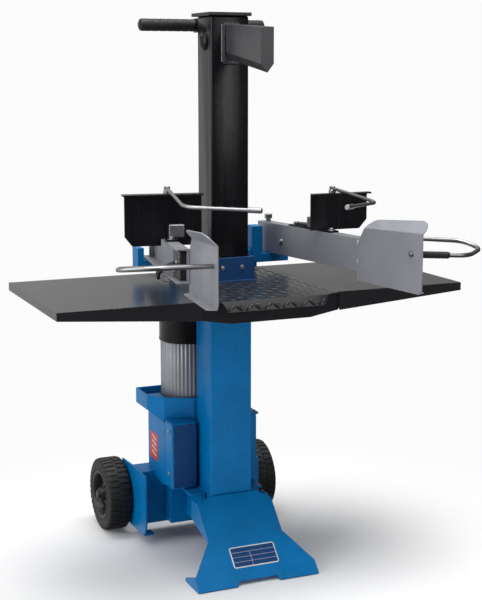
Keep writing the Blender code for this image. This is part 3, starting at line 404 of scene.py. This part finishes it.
class Shape:
    """A mesh put together from lofted solids, in a local frame."""

    def __init__(self, place=None):
        self.bm = bmesh.new()
        self.place = place or Matrix.Identity(4)

    def loft(self, rings, wrap=False):
        made = [[self.bm.verts.new(self.place @ Vector(point)) for point in ring] for ring in rings]
        pairs = list(zip(made, made[1:])) + ([(made[-1], made[0])] if wrap else [])
        for first, second in pairs:
            for i in range(len(first)):
                j = (i + 1) % len(first)
                self.bm.faces.new((first[i], first[j], second[j], second[i]))
        if not wrap:
            self.bm.faces.new(made[0][::-1])
            self.bm.faces.new(made[-1])
        return self

    def box(self, low, high):
        (x0, y0, z0), (x1, y1, z1) = low, high
        return self.loft([[(x0, y0, z), (x1, y0, z), (x1, y1, z), (x0, y1, z)] for z in (z0, z1)])

    def prism(self, outline, low, high):
        return self.loft([[(x, y, z) for x, y in outline] for z in (low, high)])

    def tube(self, points, radius, sides=16):
        """A round bar along a path; radius is a number or one for each point."""
        points = [Vector(point) for point in points]
        radii = radius if isinstance(radius, list) else [radius] * len(points)
        rings, side = [], None
        for i, point in enumerate(points):
            tangent = (points[min(i + 1, len(points) - 1)] - points[max(i - 1, 0)]).normalized()
            side = (tangent.orthogonal() if side is None else side - tangent * side.dot(tangent)).normalized()
            other = tangent.cross(side)
            rings.append([point + (side * math.cos(a) + other * math.sin(a)) * radii[i]
                          for a in (2 * math.pi * k / sides for k in range(sides))])
        return self.loft(rings)

    def bar(self, start, end, radius, sides=24, chamfer=0.0):
        start, end = Vector(start), Vector(end)
        if not chamfer:
            return self.tube([start, end], radius, sides)
        step = (end - start).normalized() * chamfer
        small = radius - chamfer
        return self.tube([start, start + step, end - step, end], [small, radius, radius, small], sides)

    def lathe(self, profile, steps=32, wrap=False):
        """A (radius, height) profile turned about the local Z."""
        angles = [2 * math.pi * k / steps for k in range(steps)]
        return self.loft([[(r * math.cos(a), r * math.sin(a), h) for a in angles] for r, h in profile], wrap)

    def fluted(self, radius, depth, flutes, heights, insets):
        """A round bar with rounded flutes; heights and insets give its rings."""
        per_flute = (0.0, 0.35, 0.65, 1.0, 0.65, 0.35)
        count = flutes * len(per_flute)
        rings = []
        for height, inset in zip(heights, insets):
            ring = []
            for k in range(count):
                reach = radius - inset - depth * per_flute[k % len(per_flute)]
                angle = 2 * math.pi * k / count
                ring.append((reach * math.cos(angle), reach * math.sin(angle), height))
            rings.append(ring)
        return self.loft(rings)

    def bolt(self, place, direction, size=0.0065, height=0.005, washer=0.0095):
        """A hexagon head with a chamfered top on a washer."""
        place, direction = Vector(place), Vector(direction).normalized()
        self.bar(place, place + direction * 0.0015, washer, 24, 0.0003)
        foot, top = place + direction * 0.0012, place + direction * (0.0015 + height)
        return self.tube([foot, top - direction * size * 0.15, top], [size, size, size * 0.82], 6)

    def dome(self, place, direction, radius, height):
        """A pan or domed head."""
        place, direction = Vector(place), Vector(direction).normalized()
        turns = [math.radians(a) for a in (0, 18, 36, 54, 70, 82)]
        points = [place] + [place + direction * (height * (0.35 + 0.65 * math.sin(t))) for t in turns]
        return self.tube(points, [radius] + [radius * math.cos(t) for t in turns], 20)

    def bead(self, start, end, radius):
        """A weld bead with its ripples."""
        start, end = Vector(start), Vector(end)
        count = max(6, int((end - start).length / 0.0022))
        points = [start.lerp(end, k / count) for k in range(count + 1)]
        radii = [radius * (0.55 if k in (0, count) else 0.82 + 0.18 * (k % 2) + 0.05 * math.sin(k * 2.3))
                 for k in range(count + 1)]
        return self.tube(points, radii, 8)

    def lozenge(self, x, y, angle, length=0.0255, width=0.0070, height=0.0010):
        """One raised lens of chequer plate, on the local XY plane."""
        along = Vector((math.cos(angle), math.sin(angle), 0)) * length / 2
        across = Vector((-math.sin(angle), math.cos(angle), 0)) * width / 2
        centre, lift = Vector((x, y, 0)), Vector((0, 0, height))
        base = [centre - along, centre - along * 0.45 - across * 0.9, centre + along * 0.45 - across * 0.9,
                centre + along, centre + along * 0.45 + across * 0.9, centre - along * 0.45 + across * 0.9]
        top = [centre + (point - centre) * 0.55 + lift for point in base]
        return self.loft([base, top])

    def done(self, name, body, slot, stands_for=(), **options):
        bmesh.ops.recalc_face_normals(self.bm, faces=self.bm.faces)
        mesh = bpy.data.meshes.new(name)
        self.bm.to_mesh(mesh)
        self.bm.free()
        return dress(bpy.data.objects.new(name, mesh), body, slot, stands_for, **options)


# ---------------------------------------------------------------- CAD shapes with rounded edges
SKINS = {
    "foot_plate": 0.0014, "foot_gusset_left": 0.0010, "foot_gusset_right": 0.0010, "base_frame": 0.0018,
    "axle_bracket_left": 0.0014, "axle_bracket_right": 0.0014, "oil_tank": 0.0024, "tank_lid": 0.0016,
    "switch_box": 0.0012, "motor_tray": 0.0014, "valve_block": 0.0020, "switch_unit": 0.0010,
    "table_collar": 0.0012, "table_wing_left": 0.0014, "table_wing_right": 0.0014, "tread_plate": 0.0012,
    "control_crossbar": 0.0016, "lever_yoke_left": 0.0016, "lever_yoke_right": 0.0016,
    "cross_bolt": 0.0, "swing_pin_left": 0.0008, "swing_pin_right": 0.0008,
    "arm_left": 0.0012, "arm_right": 0.0012, "hand_guard_left": 0.0012, "hand_guard_right": 0.0012,
    "claw_plate_left": 0.0012, "claw_plate_right": 0.0012,
    "claw_clamp_left": 0.0014, "claw_clamp_right": 0.0014, "knife": 0.0010, "mast_cap": 0.0010,
    "transport_bracket": 0.0014, "valve_rocker": 0.0010, "axle": 0.0010,
    "lower_column": 0.0, "mast": 0.0, "transport_bar": 0.0,
}


LOOKS = {"knife": "knife_paint"}


def add_skins():
    for node, bevel in SKINS.items():
        skin(node, bevel, look=LOOKS.get(node))


# ---------------------------------------------------------------- wheels
TREAD_DEPTH, LUGS, LUG_SHARE = 0.0030, 38, 0.62


def add_wheels():
    for side, sign in SIDES:
        low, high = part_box(f"tyre_{side}")
        centre = (low + high) / 2
        radius, half = (high.z - low.z) / 2, (high.x - low.x) / 2
        rim_low, rim_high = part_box(f"rim_{side}")
        rim_r = (rim_high.z - rim_low.z) / 2
        place = axis_place(centre, (sign, 0, 0))
        body = f"wheel_{side}"
        add_tyre(side, place, body, radius, half, rim_r)
        add_rim(side, place, body, half, rim_r)
        cap = Shape(place)
        cap.bar((0, 0, half - 0.0004), (0, 0, half + 0.0014), 0.0160, 28, 0.0004)
        cap.lathe([(0.0125, half + 0.0012), (0.0125, half + 0.0040), (0.0105, half + 0.0064),
                   (0.0060, half + 0.0074)], 28)
        cap.done(f"wheel_cap_{side}", "frame", "black_plastic")


def add_tyre(side, place, body, radius, half, rim_r):
    """The carcass, with two staggered rows of tread blocks that run over the shoulders."""
    floor_r = radius - TREAD_DEPTH
    flank = [(rim_r, half - 0.006), (rim_r + 0.004, half - 0.0025), (rim_r + 0.008, half - 0.0022),
             (rim_r + 0.0095, half - 0.0008), (rim_r + 0.012, half - 0.0022), (rim_r + 0.024, half - 0.0010),
             (floor_r - 0.004, half - 0.0035), (floor_r - 0.0008, half - 0.0085), (floor_r, half - 0.014)]
    tyre = Shape(place)
    tyre.lathe([(r, -h) for r, h in flank] + flank[::-1], 76, wrap=True)
    block = [(floor_r - 0.002, 0.0022), (radius, 0.0030), (radius - 0.0004, half - 0.0120),
             (radius - 0.0028, half - 0.0052), (floor_r - 0.0075, half - 0.0012),
             (floor_r - 0.0085, half - 0.0060)]
    for row in (-1, 1):
        for lug in range(LUGS):
            middle = 2 * math.pi * (lug + 0.25 * row) / LUGS
            reach = math.pi * LUG_SHARE / LUGS
            tyre.loft([[(r * math.cos(a), r * math.sin(a), row * h) for r, h in block]
                       for a in (middle - reach, middle + reach)])
    tyre.done(f"treaded_tyre_{side}", body, "tyre_rubber", (f"tyre_{side}",))


def add_rim(side, place, body, half, rim_r):
    """A moulded rim: barrel, dished web, hub and ribs."""
    hub_r, bore, spokes = 0.0215, 0.0099, 8
    rim = Shape(place)
    rim.lathe([(rim_r - 0.0060, -half + 0.005), (rim_r - 0.0003, -half + 0.005),
               (rim_r - 0.0003, half - 0.0055), (rim_r + 0.0030, half - 0.0030),
               (rim_r + 0.0022, half - 0.0016), (rim_r - 0.0030, half - 0.0022),
               (rim_r - 0.0070, half - 0.0070), (rim_r - 0.0105, 0.004), (rim_r - 0.0105, -0.002)],
              48, wrap=True)
    rim.lathe([(hub_r - 0.002, -0.0040), (rim_r - 0.009, -0.0020), (rim_r - 0.009, 0.0020),
               (hub_r - 0.002, 0.0000)], 48, wrap=True)
    rim.lathe([(bore, -half + 0.001), (hub_r - 0.003, -half + 0.001), (hub_r, -half + 0.004),
               (hub_r, half - 0.008), (hub_r - 0.004, half - 0.0012), (bore, half - 0.0010)], 36, wrap=True)
    for spoke in range(spokes):
        turn = Matrix.Rotation(2 * math.pi * spoke / spokes, 4, "Z")
        near, far, crest = hub_r - 0.003, rim_r - 0.0085, half - 0.011
        inner = [(near, -0.0055, 0.0), (near, 0.0055, 0.0), (near, 0.0035, crest), (near, -0.0035, crest)]
        outer = [(far, -0.0040, 0.0), (far, 0.0040, 0.0), (far, 0.0024, 0.0125), (far, -0.0024, 0.0125)]
        rim.loft([[turn @ Vector(point) for point in ring] for ring in (inner, outer)])
    rim.done(f"spoked_rim_{side}", body, "black_plastic", (f"rim_{side}",))


# ---------------------------------------------------------------- table
TREAD_X = 0.190
TREAD_PITCH = 0.0270


def add_chequer():
    """Rows of raised lenses on the tread plate and on its front lip, clear of the collar."""
    low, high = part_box("tread_plate")
    top = high.z
    sheet = Shape(Matrix.Translation(at(0, 0, top)))
    front, rear = low.y - AXIS_Y + 0.026, 0.148
    rows = int((rear - front) / TREAD_PITCH)
    columns = int(TREAD_X / TREAD_PITCH)
    for row in range(rows + 1):
        y = front + 0.006 + row * TREAD_PITCH
        for column in range(-columns, columns + 1):
            x = column * TREAD_PITCH
            if abs(x) < COLUMN_X + 0.022 and abs(y) < COLUMN_Y + 0.022:
                continue
            if abs(x) > TREAD_X - 0.012:
                continue
            slant = 1 if (row + column) % 2 else -1
            sheet.lozenge(x, y, slant * math.radians(45) + math.radians(12))
    sheet.done("chequer_lenses", "frame", "table_paint")
    lip = Shape(Matrix.Translation(at(0, low.y - AXIS_Y + 0.0015, top - 0.0030))
                @ Matrix.Rotation(math.radians(65.8), 4, "X"))
    for k in range(-5, 6):
        lip.lozenge(k * TREAD_PITCH * 0.92, -0.012, (1 if k % 2 else -1) * math.radians(38),
                    height=0.0006)
    lip.done("lip_lenses", "frame", "table_paint")

    strips = Shape()                # close the seams between tread plate and wing folds
    for _, sign in SIDES:
        x0, x1 = sorted((sign * (TREAD_X - 0.004), sign * (TREAD_X + 0.006)))
        strips.box(at(x0, -0.3118, top - 0.0440), at(x1, -0.3034, top - 0.0042))
        strips.box(at(x0, 0.1440, top - 0.0440), at(x1, 0.1474, top - 0.0042))
    strips.done("seam_strips", "frame", "table_paint")


def add_table_welds():
    """Beads between collar and sheet, and one smaller bolt on each side in place of the CAD collar bolt."""
    welds = Shape()
    edge_x, edge_y, z = 0.0665, 0.0630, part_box("tread_plate")[1].z + 0.0008
    welds.bead(at(-edge_x, -edge_y, z), at(edge_x, -edge_y, z), 0.0022)
    for sign in (-1, 1):
        welds.bead(at(sign * edge_x, -edge_y, z), at(sign * edge_x, edge_y, z), 0.0022)
    welds.done("collar_weld", "frame", "navy_paint")
    for side, _ in SIDES:
        low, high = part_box(f"collar_bolt_{side}")
        centre = (low + high) / 2
        bolt = Shape()
        bolt.bolt((centre.x, high.y, centre.z), FRONT, 0.0046, 0.0032, 0.0062)
        bolt.done(f"small_collar_bolt_{side}", "frame", "zinc_steel", (f"collar_bolt_{side}",))


# ---------------------------------------------------------------- column, foot and base
FOOT_TOP = at(0, -0.0584, 0.1902)
DOWN_SLOPE = Vector((0, -1, -1)).normalized()
FOOT_NORMAL = Vector((0, -1, 1)).normalized()


def foot_point(x, s, lift=0.003):
    """A point on the sloping foot: across it, down it, and above its middle plane."""
    return FOOT_TOP + Vector((x, 0, 0)) + DOWN_SLOPE * s + FOOT_NORMAL * lift


def add_foot_details():
    welds = Shape()
    z = FOOT_TOP.z
    welds.bead(at(-0.062, -0.0575, z - 0.0035), at(0.062, -0.0575, z - 0.0035), 0.0034)
    for _, sign in SIDES:
        x = sign * (COLUMN_X + 0.0012)
        welds.bead(at(x, -0.016, 0.1912), at(x, 0.052, 0.1912), 0.0028)
        gusset, under = sign * 0.1010, -0.0028
        welds.bead(foot_point(gusset, 0.016, under), foot_point(gusset, 0.120, under), 0.0030)
    welds.done("foot_welds", "frame", "blue_paint")

    turn = Matrix((Vector((1, 0, 0)), -DOWN_SLOPE, FOOT_NORMAL)).transposed().to_4x4()
    middle = foot_point(0.0065, 0.1865, 0.0030)
    half_w, half_h = 0.0655, 0.0300
    plate = Shape(Matrix.Translation(middle) @ turn)
    corner = 0.004
    outline = [(half_w - corner, -half_h), (half_w, -half_h + corner), (half_w, half_h - corner),
               (half_w - corner, half_h)]
    plate.prism(outline + [(-x, y) for x, y in reversed(outline)], 0.0, 0.0009)
    plate.done("plate_sheet", "frame", "cast_aluminium", bevel=0.0002, look="label_white")
    fields = Shape(Matrix.Translation(middle) @ turn)
    border, line = 0.0030, 0.0008
    left, right = -half_w + border, half_w - border
    split = left + (right - left) * 0.42
    rows = 4
    height = (2 * half_h - 2 * border - (rows - 1) * line) / rows
    for row in range(rows):
        low = -half_h + border + row * (height + line)
        cells = [(left, right)] if row == rows - 1 else [(left, split), (split + line, right)]
        for x0, x1 in cells:
            fields.box((x0, low, 0.0007), (x1, low + height, 0.0011))
    fields.done("plate_fields", "frame", "navy_paint")
    rivets = Shape()
    for x in (-half_w + 0.0065, half_w - 0.0065):
        rivets.dome(foot_point(0.0065 + x, 0.1865, 0.0040), FOOT_NORMAL, 0.0020, 0.0010)
    rivets.done("plate_rivets", "frame", "zinc_steel")


# ---------------------------------------------------------------- mast, knife and transport grips
def add_mast_details():
    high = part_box("knife")[1]
    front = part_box("mast")[0].y
    welds = Shape()
    for _, sign in SIDES:
        x = AXIS_X + sign * (high.x - AXIS_X + 0.0015)
        welds.bead(Vector((x, front - 0.0012, 1.3600)), Vector((x, front - 0.0012, 1.4560)), 0.0032)
    welds.done("knife_root_welds", "ram", "zinc_steel")
    seams = Shape()
    for _, sign in SIDES:
        seams.bead(Vector((AXIS_X + sign * 0.0187, front - 0.0112, 1.376)),
                   Vector((AXIS_X + sign * 0.0187, front - 0.0112, 1.452)), 0.0022)
    seams.done("knife_blade_welds", "ram", "black_paint")
    for side, sign in SIDES:
        add_grip(side, sign)
    bar_low, bar_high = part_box("transport_bar")
    collars = Shape()
    bracket_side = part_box("transport_bracket")[1].x - AXIS_X
    for _, sign in SIDES:
        place = (bar_low + bar_high) / 2
        place.x = AXIS_X + sign * (bracket_side + 0.0003)
        collars.bar(place, place + Vector((sign * 0.0028, 0, 0)), 0.0135, 24, 0.0006)
    collars.done("bar_collars", "ram", "black_paint")


def add_grip(side, sign):
    """A ribbed rubber grip with a flange and a rounded end."""
    node = f"transport_grip_{side}"
    low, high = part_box(node)
    centre = (low + high) / 2
    length, radius, bore = high.x - low.x, (high.z - low.z) / 2, 0.0088
    place = axis_place(Vector((centre.x - sign * length / 2, centre.y, centre.z)), (sign, 0, 0))
    profile = [(bore, 0.0), (radius - 0.0008, 0.0), (radius, 0.0010), (radius, 0.0040)]
    notches, depth = 6, 0.0009
    pitch = (length - 0.026) / notches
    for notch in range(notches):
        start = 0.012 + notch * pitch
        profile += [(radius, start), (radius - depth, start + 0.0010), (radius - depth, start + 0.0040),
                    (radius, start + 0.0050)]
    profile += [(radius, length - 0.0060), (radius - 0.0012, length - 0.0022), (radius - 0.0045, length),
                (bore, length)]
    Shape(place).lathe(profile, 28, wrap=True).done(f"ribbed_grip_{side}", "ram", "black_rubber", (node,))


# ---------------------------------------------------------------- power pack
def add_motor():
    low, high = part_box("motor_body")
    centre = (low + high) / 2
    radius = (high.x - low.x) / 2
    place = Matrix.Translation(Vector((centre.x, centre.y, 0)))
    body = Shape(place)
    foot = low.z + 0.0040
    body.fluted(radius - 0.0004, 0.0022, 44, (foot, foot + 0.0015, high.z - 0.0015, high.z),
                (0.0012, 0.0, 0.0, 0.0012))
    body.done("finned_motor", "frame", "cast_aluminium", ("motor_body",), angle=60)

    cover_low, cover_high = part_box("motor_fan_cover")
    outer, base, top = (cover_high.x - cover_low.x) / 2, cover_low.z, cover_high.z
    opening, sheet = 0.030, 0.0022
    rounding = [(outer - 0.0075 * (1 - math.cos(a)), top - 0.0090 + 0.0090 * math.sin(a))
                for a in (math.radians(k) for k in (0, 15, 30, 45, 60, 75, 90))]
    profile = [(outer - sheet, base), (outer - 0.0003, base), (outer, base + 0.0006), (outer, base + 0.0060),
               (outer - 0.0010, base + 0.0072), (outer - 0.0010, top - 0.0110)] + rounding
    profile += [(opening + 0.002, top), (opening, top - 0.0008), (opening, top - sheet),
                (outer - 0.0090, top - sheet), (outer - sheet, top - 0.0100)]
    cover = Shape(place)
    cover.lathe(profile, 72, wrap=True)
    cover.done("fan_cover_shell", "frame", "black_paint", ("motor_fan_cover",))
    grille = Shape(place)
    for ring_r in (0.0080, 0.0160, 0.0240, 0.0305):
        grille.lathe([(ring_r + 0.0010 * math.cos(a), top - 0.0018 + 0.0010 * math.sin(a))
                      for a in (2 * math.pi * k / 8 for k in range(8))], 40, wrap=True)
    for spoke in range(4):
        turn = Matrix.Rotation(math.pi * spoke / 4, 4, "Z")
        ends = [turn @ Vector((x, 0, top - 0.0026)) for x in (-0.031, 0.031)]
        grille.bar(*ends, 0.0010, 8)
    grille.done("fan_grille", "frame", "black_paint")


def add_tank_details():
    low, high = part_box("oil_tank")
    box_low, box_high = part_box("switch_box")
    screws = Shape()
    for z in (0.355, 0.234):
        screws.dome(Vector((box_low.x, AXIS_Y + 0.053, z)), (-1, 0, 0), 0.0060, 0.0030)
    screws.done("box_screws", "frame", "zinc_steel")
    # Navy sheet over the box front, darker than the box: painted shade on the front face, which the table and
    # column shade
    front = Shape()
    inset = 0.0045
    front.box((box_low.x + inset, box_low.y - 0.0011, box_low.z + inset),
              (box_high.x - inset, box_low.y + 0.0005, box_high.z - inset))
    front.done("box_front_shade_panel", "frame", "navy_paint", bevel=0.0006)

    sticker = Shape()
    y0, y1, z0, z1 = AXIS_Y + 0.143, AXIS_Y + 0.208, 0.243, 0.320
    sticker.box((low.x - 0.0003, y0, z0), (low.x + 0.0005, y1, z1))
    sticker.done("side_label", "frame", "red_plastic")
    bars = Shape()
    count = 4
    for k in range(count):
        start = z0 + 0.010 + k * (z1 - z0 - 0.014) / count
        slant = 0.010
        begin, end, thick = y0 + 0.014, y1 - 0.016, 0.0040
        outline = [(begin, start), (end, start + slant), (end, start + slant + thick), (begin, start + thick)]
        bars.loft([[(low.x - reach, y, z) for y, z in outline] for reach in (0.0005, -0.0002)])
    bars.done("side_label_bars", "frame", "silver_paint", look="label_white")

    lid_low, lid_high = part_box("tank_lid")
    lid = Shape()
    for x in (lid_low.x + 0.010, lid_high.x - 0.010):
        for y in (lid_low.y + 0.012, (lid_low.y + lid_high.y) / 2, lid_high.y - 0.012):
            lid.bolt((x, y, lid_high.z - 0.0003), UP, 0.0046, 0.0034, 0.0068)
    lid.done("lid_bolts", "frame", "zinc_steel")
    seams = Shape()
    edge = 0.0012
    left, right, rear = low.x + edge, high.x - edge, high.y - edge
    for x, y in ((left, rear), (right, rear), (right, low.y + edge)):
        seams.bead((x, y, low.z + 0.004), (x, y, high.z - 0.004), 0.0020)
    seams.done("tank_seams", "frame", "blue_paint")
    plug = Shape()
    plug_place = (high.x - 0.0002, (low.y + high.y) / 2, low.z + 0.022)
    plug.bolt(plug_place, (1, 0, 0), 0.0100, 0.0065, 0.0135)
    plug.done("drain_plug", "frame", "zinc_steel")

    cap_low, cap_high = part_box("filler_cap")
    centre = (cap_low + cap_high) / 2
    radius = (cap_high.x - cap_low.x) / 2
    cap = Shape(Matrix.Translation(Vector((centre.x, centre.y, 0))))
    cap.fluted(radius, 0.0010, 18, (cap_low.z, cap_low.z + 0.0008, cap_high.z - 0.0040, cap_high.z - 0.0012,
                                    cap_high.z), (0.0006, 0.0, 0.0, 0.0014, 0.0042))
    cap.done("fluted_filler_cap", "frame", "black_plastic", ("filler_cap",))


def add_switch_details():
    low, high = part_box("switch_unit")
    back = high.y
    rings = Shape()
    for name in ("start_button", "stop_button"):
        button_low, button_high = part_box(name)
        centre = (button_low + button_high) / 2
        radius = (button_high.x - button_low.x) / 2
        place = axis_place(Vector((centre.x, back - 0.0003, centre.z)), REAR)
        rings.place = place
        rings.lathe([(radius + 0.0009, 0.0), (radius + 0.0042, 0.0), (radius + 0.0038, 0.0018),
                     (radius + 0.0014, 0.0026), (radius + 0.0009, 0.0020)], 36, wrap=True)
    rings.place = Matrix.Identity(4)
    rings.done("button_rings", "frame", "zinc_steel")
    inlet = Shape(axis_place(at(-0.066, back - AXIS_Y - 0.012, 0.262), REAR))
    inlet.lathe([(0.0128, 0.0), (0.0158, 0.0), (0.0158, 0.0125), (0.0175, 0.0125), (0.0175, 0.0150),
                 (0.0145, 0.0160), (0.0128, 0.0150)], 36, wrap=True)
    inlet.bar((0, 0, 0.0), (0, 0, 0.0025), 0.0130, 30)
    for k in range(3):
        turn = Matrix.Rotation(2 * math.pi * k / 3 + 0.5, 4, "Z")
        pin = turn @ Vector((0.0068, 0, 0))
        inlet.bar(pin, pin + Vector((0, 0, 0.0100)), 0.0021, 14, 0.0005)
    inlet.done("mains_inlet", "frame", "black_plastic")
    screws = Shape()
    for x in (low.x + 0.0075, high.x - 0.0075):
        for z in (low.z + 0.0075, high.z - 0.0075):
            screws.dome((x, back - 0.0003, z), REAR, 0.0029, 0.0012)
    screws.done("switch_screws", "frame", "zinc_steel")


# ---------------------------------------------------------------- arms, guards and claws
ARM_REAR, ARM_FRONT = Vector((0.156, 0.121)), Vector((0.2316, -0.3460))
ARM_LOW_Z, ARM_TOP_Z = 0.837, 0.921
HANDLE_R, ROD_R = 0.0055, 0.0045


def arm_place(sign):
    """An arm's frame: X forward along it, Y outward from its web, Z up."""
    rear, front = at(sign * ARM_REAR.x, ARM_REAR.y, 0), at(sign * ARM_FRONT.x, ARM_FRONT.y, 0)
    along = (front - rear).normalized()
    outward = Vector((-along.y, along.x, 0)) * sign
    return Matrix.Translation(rear) @ Matrix((along, outward, UP)).transposed().to_4x4()


def add_handle(side, sign):
    """The loop of bar; the right one has a rubber sleeve and a nut on its inner end."""
    plan = ((0.248, -0.556), (0.400, -0.582), (0.470, -0.525), (0.450, -0.475), (0.305, -0.430),
            (0.242, -0.418))
    right = (0.908, 0.900, 0.906, 0.920, 0.930, 0.920)
    left = (0.910, 0.917, 0.910, 0.904, 0.894, 0.890)
    path = [at(sign * x, y, z) for (x, y), z in zip(plan, right if sign > 0 else left)]
    bail = Shape()
    bail.tube(soft_path(path, 0.030), HANDLE_R, 20)
    bail.done(f"smooth_bail_{side}", f"arm_{side}", "zinc_steel", (f"handle_bail_{side}",))
    if side == "left":
        return
    start, end = path[0].lerp(path[1], 0.22), path[0].lerp(path[1], 0.66)
    step = (end - start).normalized()
    sleeve = Shape()
    radius = HANDLE_R + 0.0026
    points, radii = [start], [radius - 0.0010]
    ribs = 7
    length = (end - start).length
    for k in range(ribs):
        for share, swell in ((0.10, 0.0), (0.30, 0.0006), (0.70, 0.0006), (0.90, 0.0)):
            points.append(start + step * length * (0.03 + 0.94 * (k + share) / ribs))
            radii.append(radius + swell)
    sleeve.tube(points + [end], radii + [radius - 0.0010], 24)
    sleeve.done(f"bail_sleeve_{side}", f"arm_{side}", "black_rubber")
    lock = Shape()
    outward = (path[1] - path[0]).normalized()
    place = path[0] + outward * 0.0160
    lock.bar(place, place + outward * 0.0016, 0.0105, 24, 0.0003)
    lock.tube([place + outward * 0.0014, place + outward * 0.0074], 0.0092, 6)
    lock.done(f"bail_nut_{side}", f"arm_{side}", "zinc_steel")


def add_arm_details(side, sign):
    place = arm_place(sign)
    body = f"arm_{side}"
    pin = Shape(place)
    pin.dome((0.1169, 0.0004, 0.8732), (0, -1, 0), 0.0090, 0.0060)
    pin.done(f"web_rivet_{side}", body, "zinc_steel")
    # Black block inside the arm's channel, carrying the stop bolts; its black also stands in for the
    # channel's shaded interior: painted shade
    block = Shape(place)
    block.box((0.3720, 0.0044, ARM_LOW_Z + 0.0048), (0.4560, 0.0200, ARM_TOP_Z - 0.0090))
    block.done(f"channel_shade_block_{side}", body, "black_plastic", bevel=0.0020)
    nut = Shape(place)
    nut.bolt((0.4380, 0.0198, 0.8860), (0, 1, 0), 0.0072, 0.0055, 0.0105)
    nut.bolt((0.3900, 0.0198, 0.8560), (0, 1, 0), 0.0052, 0.0040, 0.0078)
    nut.done(f"stop_bolts_{side}", body, "zinc_steel")
    lever = Shape(place)
    ring_at, ring_r, wire = Vector((0.2560, 0.0365, 0.8270 if side == "left" else 0.8560)), 0.0095, 0.0040
    turns = [2 * math.pi * k / 28 for k in range(28)]
    rings = []
    for t in turns:
        out = Vector((math.cos(t), 0, math.sin(t)))
        rings.append([ring_at + out * (ring_r + wire * math.cos(a)) + Vector((0, wire * math.sin(a), 0))
                      for a in (2 * math.pi * k / 10 for k in range(10))])
    lever.loft(rings, wrap=True)
    grip = soft_path([ring_at + Vector((0.0110, 0, 0.0040)), (0.3100, 0.0370, 0.8480),
                      (0.3800, 0.0340, 0.8700), (0.4100, 0.0260, 0.8780), (0.4250, 0.0180, 0.8820)], 0.014)
    lever.tube(grip, [0.0046 + 0.0010 * k / len(grip) for k in range(len(grip))], 12)
    lever.done(f"stop_lever_{side}", body, "black_plastic")
    # Short weld beads where the guard meets the arm, finished in label white rather than silver: painted
    # highlight, bright spots for the light the welds catch
    welds = Shape()
    for z in (0.858, 0.905):
        start = at(sign * 0.2288, -0.3378, z)
        welds.bead(start, start + Vector((0, 0, 0.012)), 0.0028)
    welds.done(f"guard_weld_highlights_{side}", body, "silver_paint", look="label_white")
    seam = Shape(place)
    seam.bead((0.0020, 0.0015, ARM_LOW_Z + 0.004), (0.0020, 0.0015, ARM_TOP_Z - 0.004), 0.0022)
    seam.done(f"arm_seam_{side}", body, "silver_paint")


def add_claw_details(side, sign):
    place = arm_place(sign)
    body = f"claw_{side}"
    strap_top = ARM_TOP_Z + 0.0050
    if side == "left":
        cast = Shape(place)
        cast.box((0.3024, -0.0200, 0.9290), (0.3240, 0.0200, 0.9620))
        cast.done("claw_block_left", body, "zinc_steel", bevel=0.0030)
    nuts = Shape(place)
    nuts.bolt((0.1680, 0.0160, strap_top), (0, 0, 1), 0.0080, 0.0065, 0.0120)
    nuts.bolt((0.2575, 0.0160, strap_top + 0.0420), (0, 0, 1), 0.0088, 0.0065, 0.0105)
    nuts.bolt((0.3280, 0.0160, strap_top), (0, 0, 1), 0.0070, 0.0050, 0.0105)
    nuts.done(f"claw_nuts_{side}", body, "zinc_steel")
    tongue = Shape(place)
    tongue.prism([(0.176, 0.0030), (0.232, 0.0030), (0.232, 0.0290), (0.190, 0.0290), (0.176, 0.0200)],
                 strap_top + 0.0002, strap_top + 0.0075)
    tongue.done(f"claw_tongue_{side}", body, "black_paint", bevel=0.0010)

    rod_body = f"claw_rod_{side}"
    foot = 1.0226 if side == "right" else 1.0386
    knee, tip_z = ((0.262, -0.370, 1.014), 1.020) if side == "right" else ((0.254, -0.368, 1.024), 1.022)
    path = [at(sign * x, y, z) for x, y, z in (
        (0.230, -0.190, foot), (0.230, -0.190, foot + 0.0124), (0.234, -0.215, foot + 0.0104), knee,
        (0.111, -0.496, tip_z))]
    rod = Shape()
    rod.tube(soft_path(path, 0.028, 10), ROD_R, 18)
    rod.done(f"smooth_claw_rod_{side}", rod_body, "zinc_steel", (f"claw_rod_{side}",))
    tip = (path[3] - path[4]).normalized()
    sleeve = Shape()
    sleeve.bar(path[4] - tip * 0.0010, path[4] + tip * 0.0340, ROD_R + 0.0022, 24, 0.0012)
    sleeve.done(f"rod_tip_{side}", rod_body, "zinc_steel")
    eye = Shape(Matrix.Translation(path[0]))
    eye.lathe([(0.0042, 0.0002), (0.0088, 0.0002), (0.0094, 0.0010), (0.0094, 0.0080), (0.0085, 0.0092),
               (0.0042, 0.0092)], 28, wrap=True)
    eye.tube([(0, 0, 0.0090), (0, 0, 0.0175), (0, 0, 0.0185)], [0.0078, 0.0078, 0.0064], 6)
    eye.done(f"rod_eye_{side}", rod_body, "zinc_steel")


paint_cad()
add_skins()
add_wheels()
add_chequer()
add_table_welds()
add_foot_details()
add_mast_details()
add_motor()
add_tank_details()
add_switch_details()
for arm_side, arm_sign in SIDES:
    add_handle(arm_side, arm_sign)
    add_arm_details(arm_side, arm_sign)
    add_claw_details(arm_side, arm_sign)
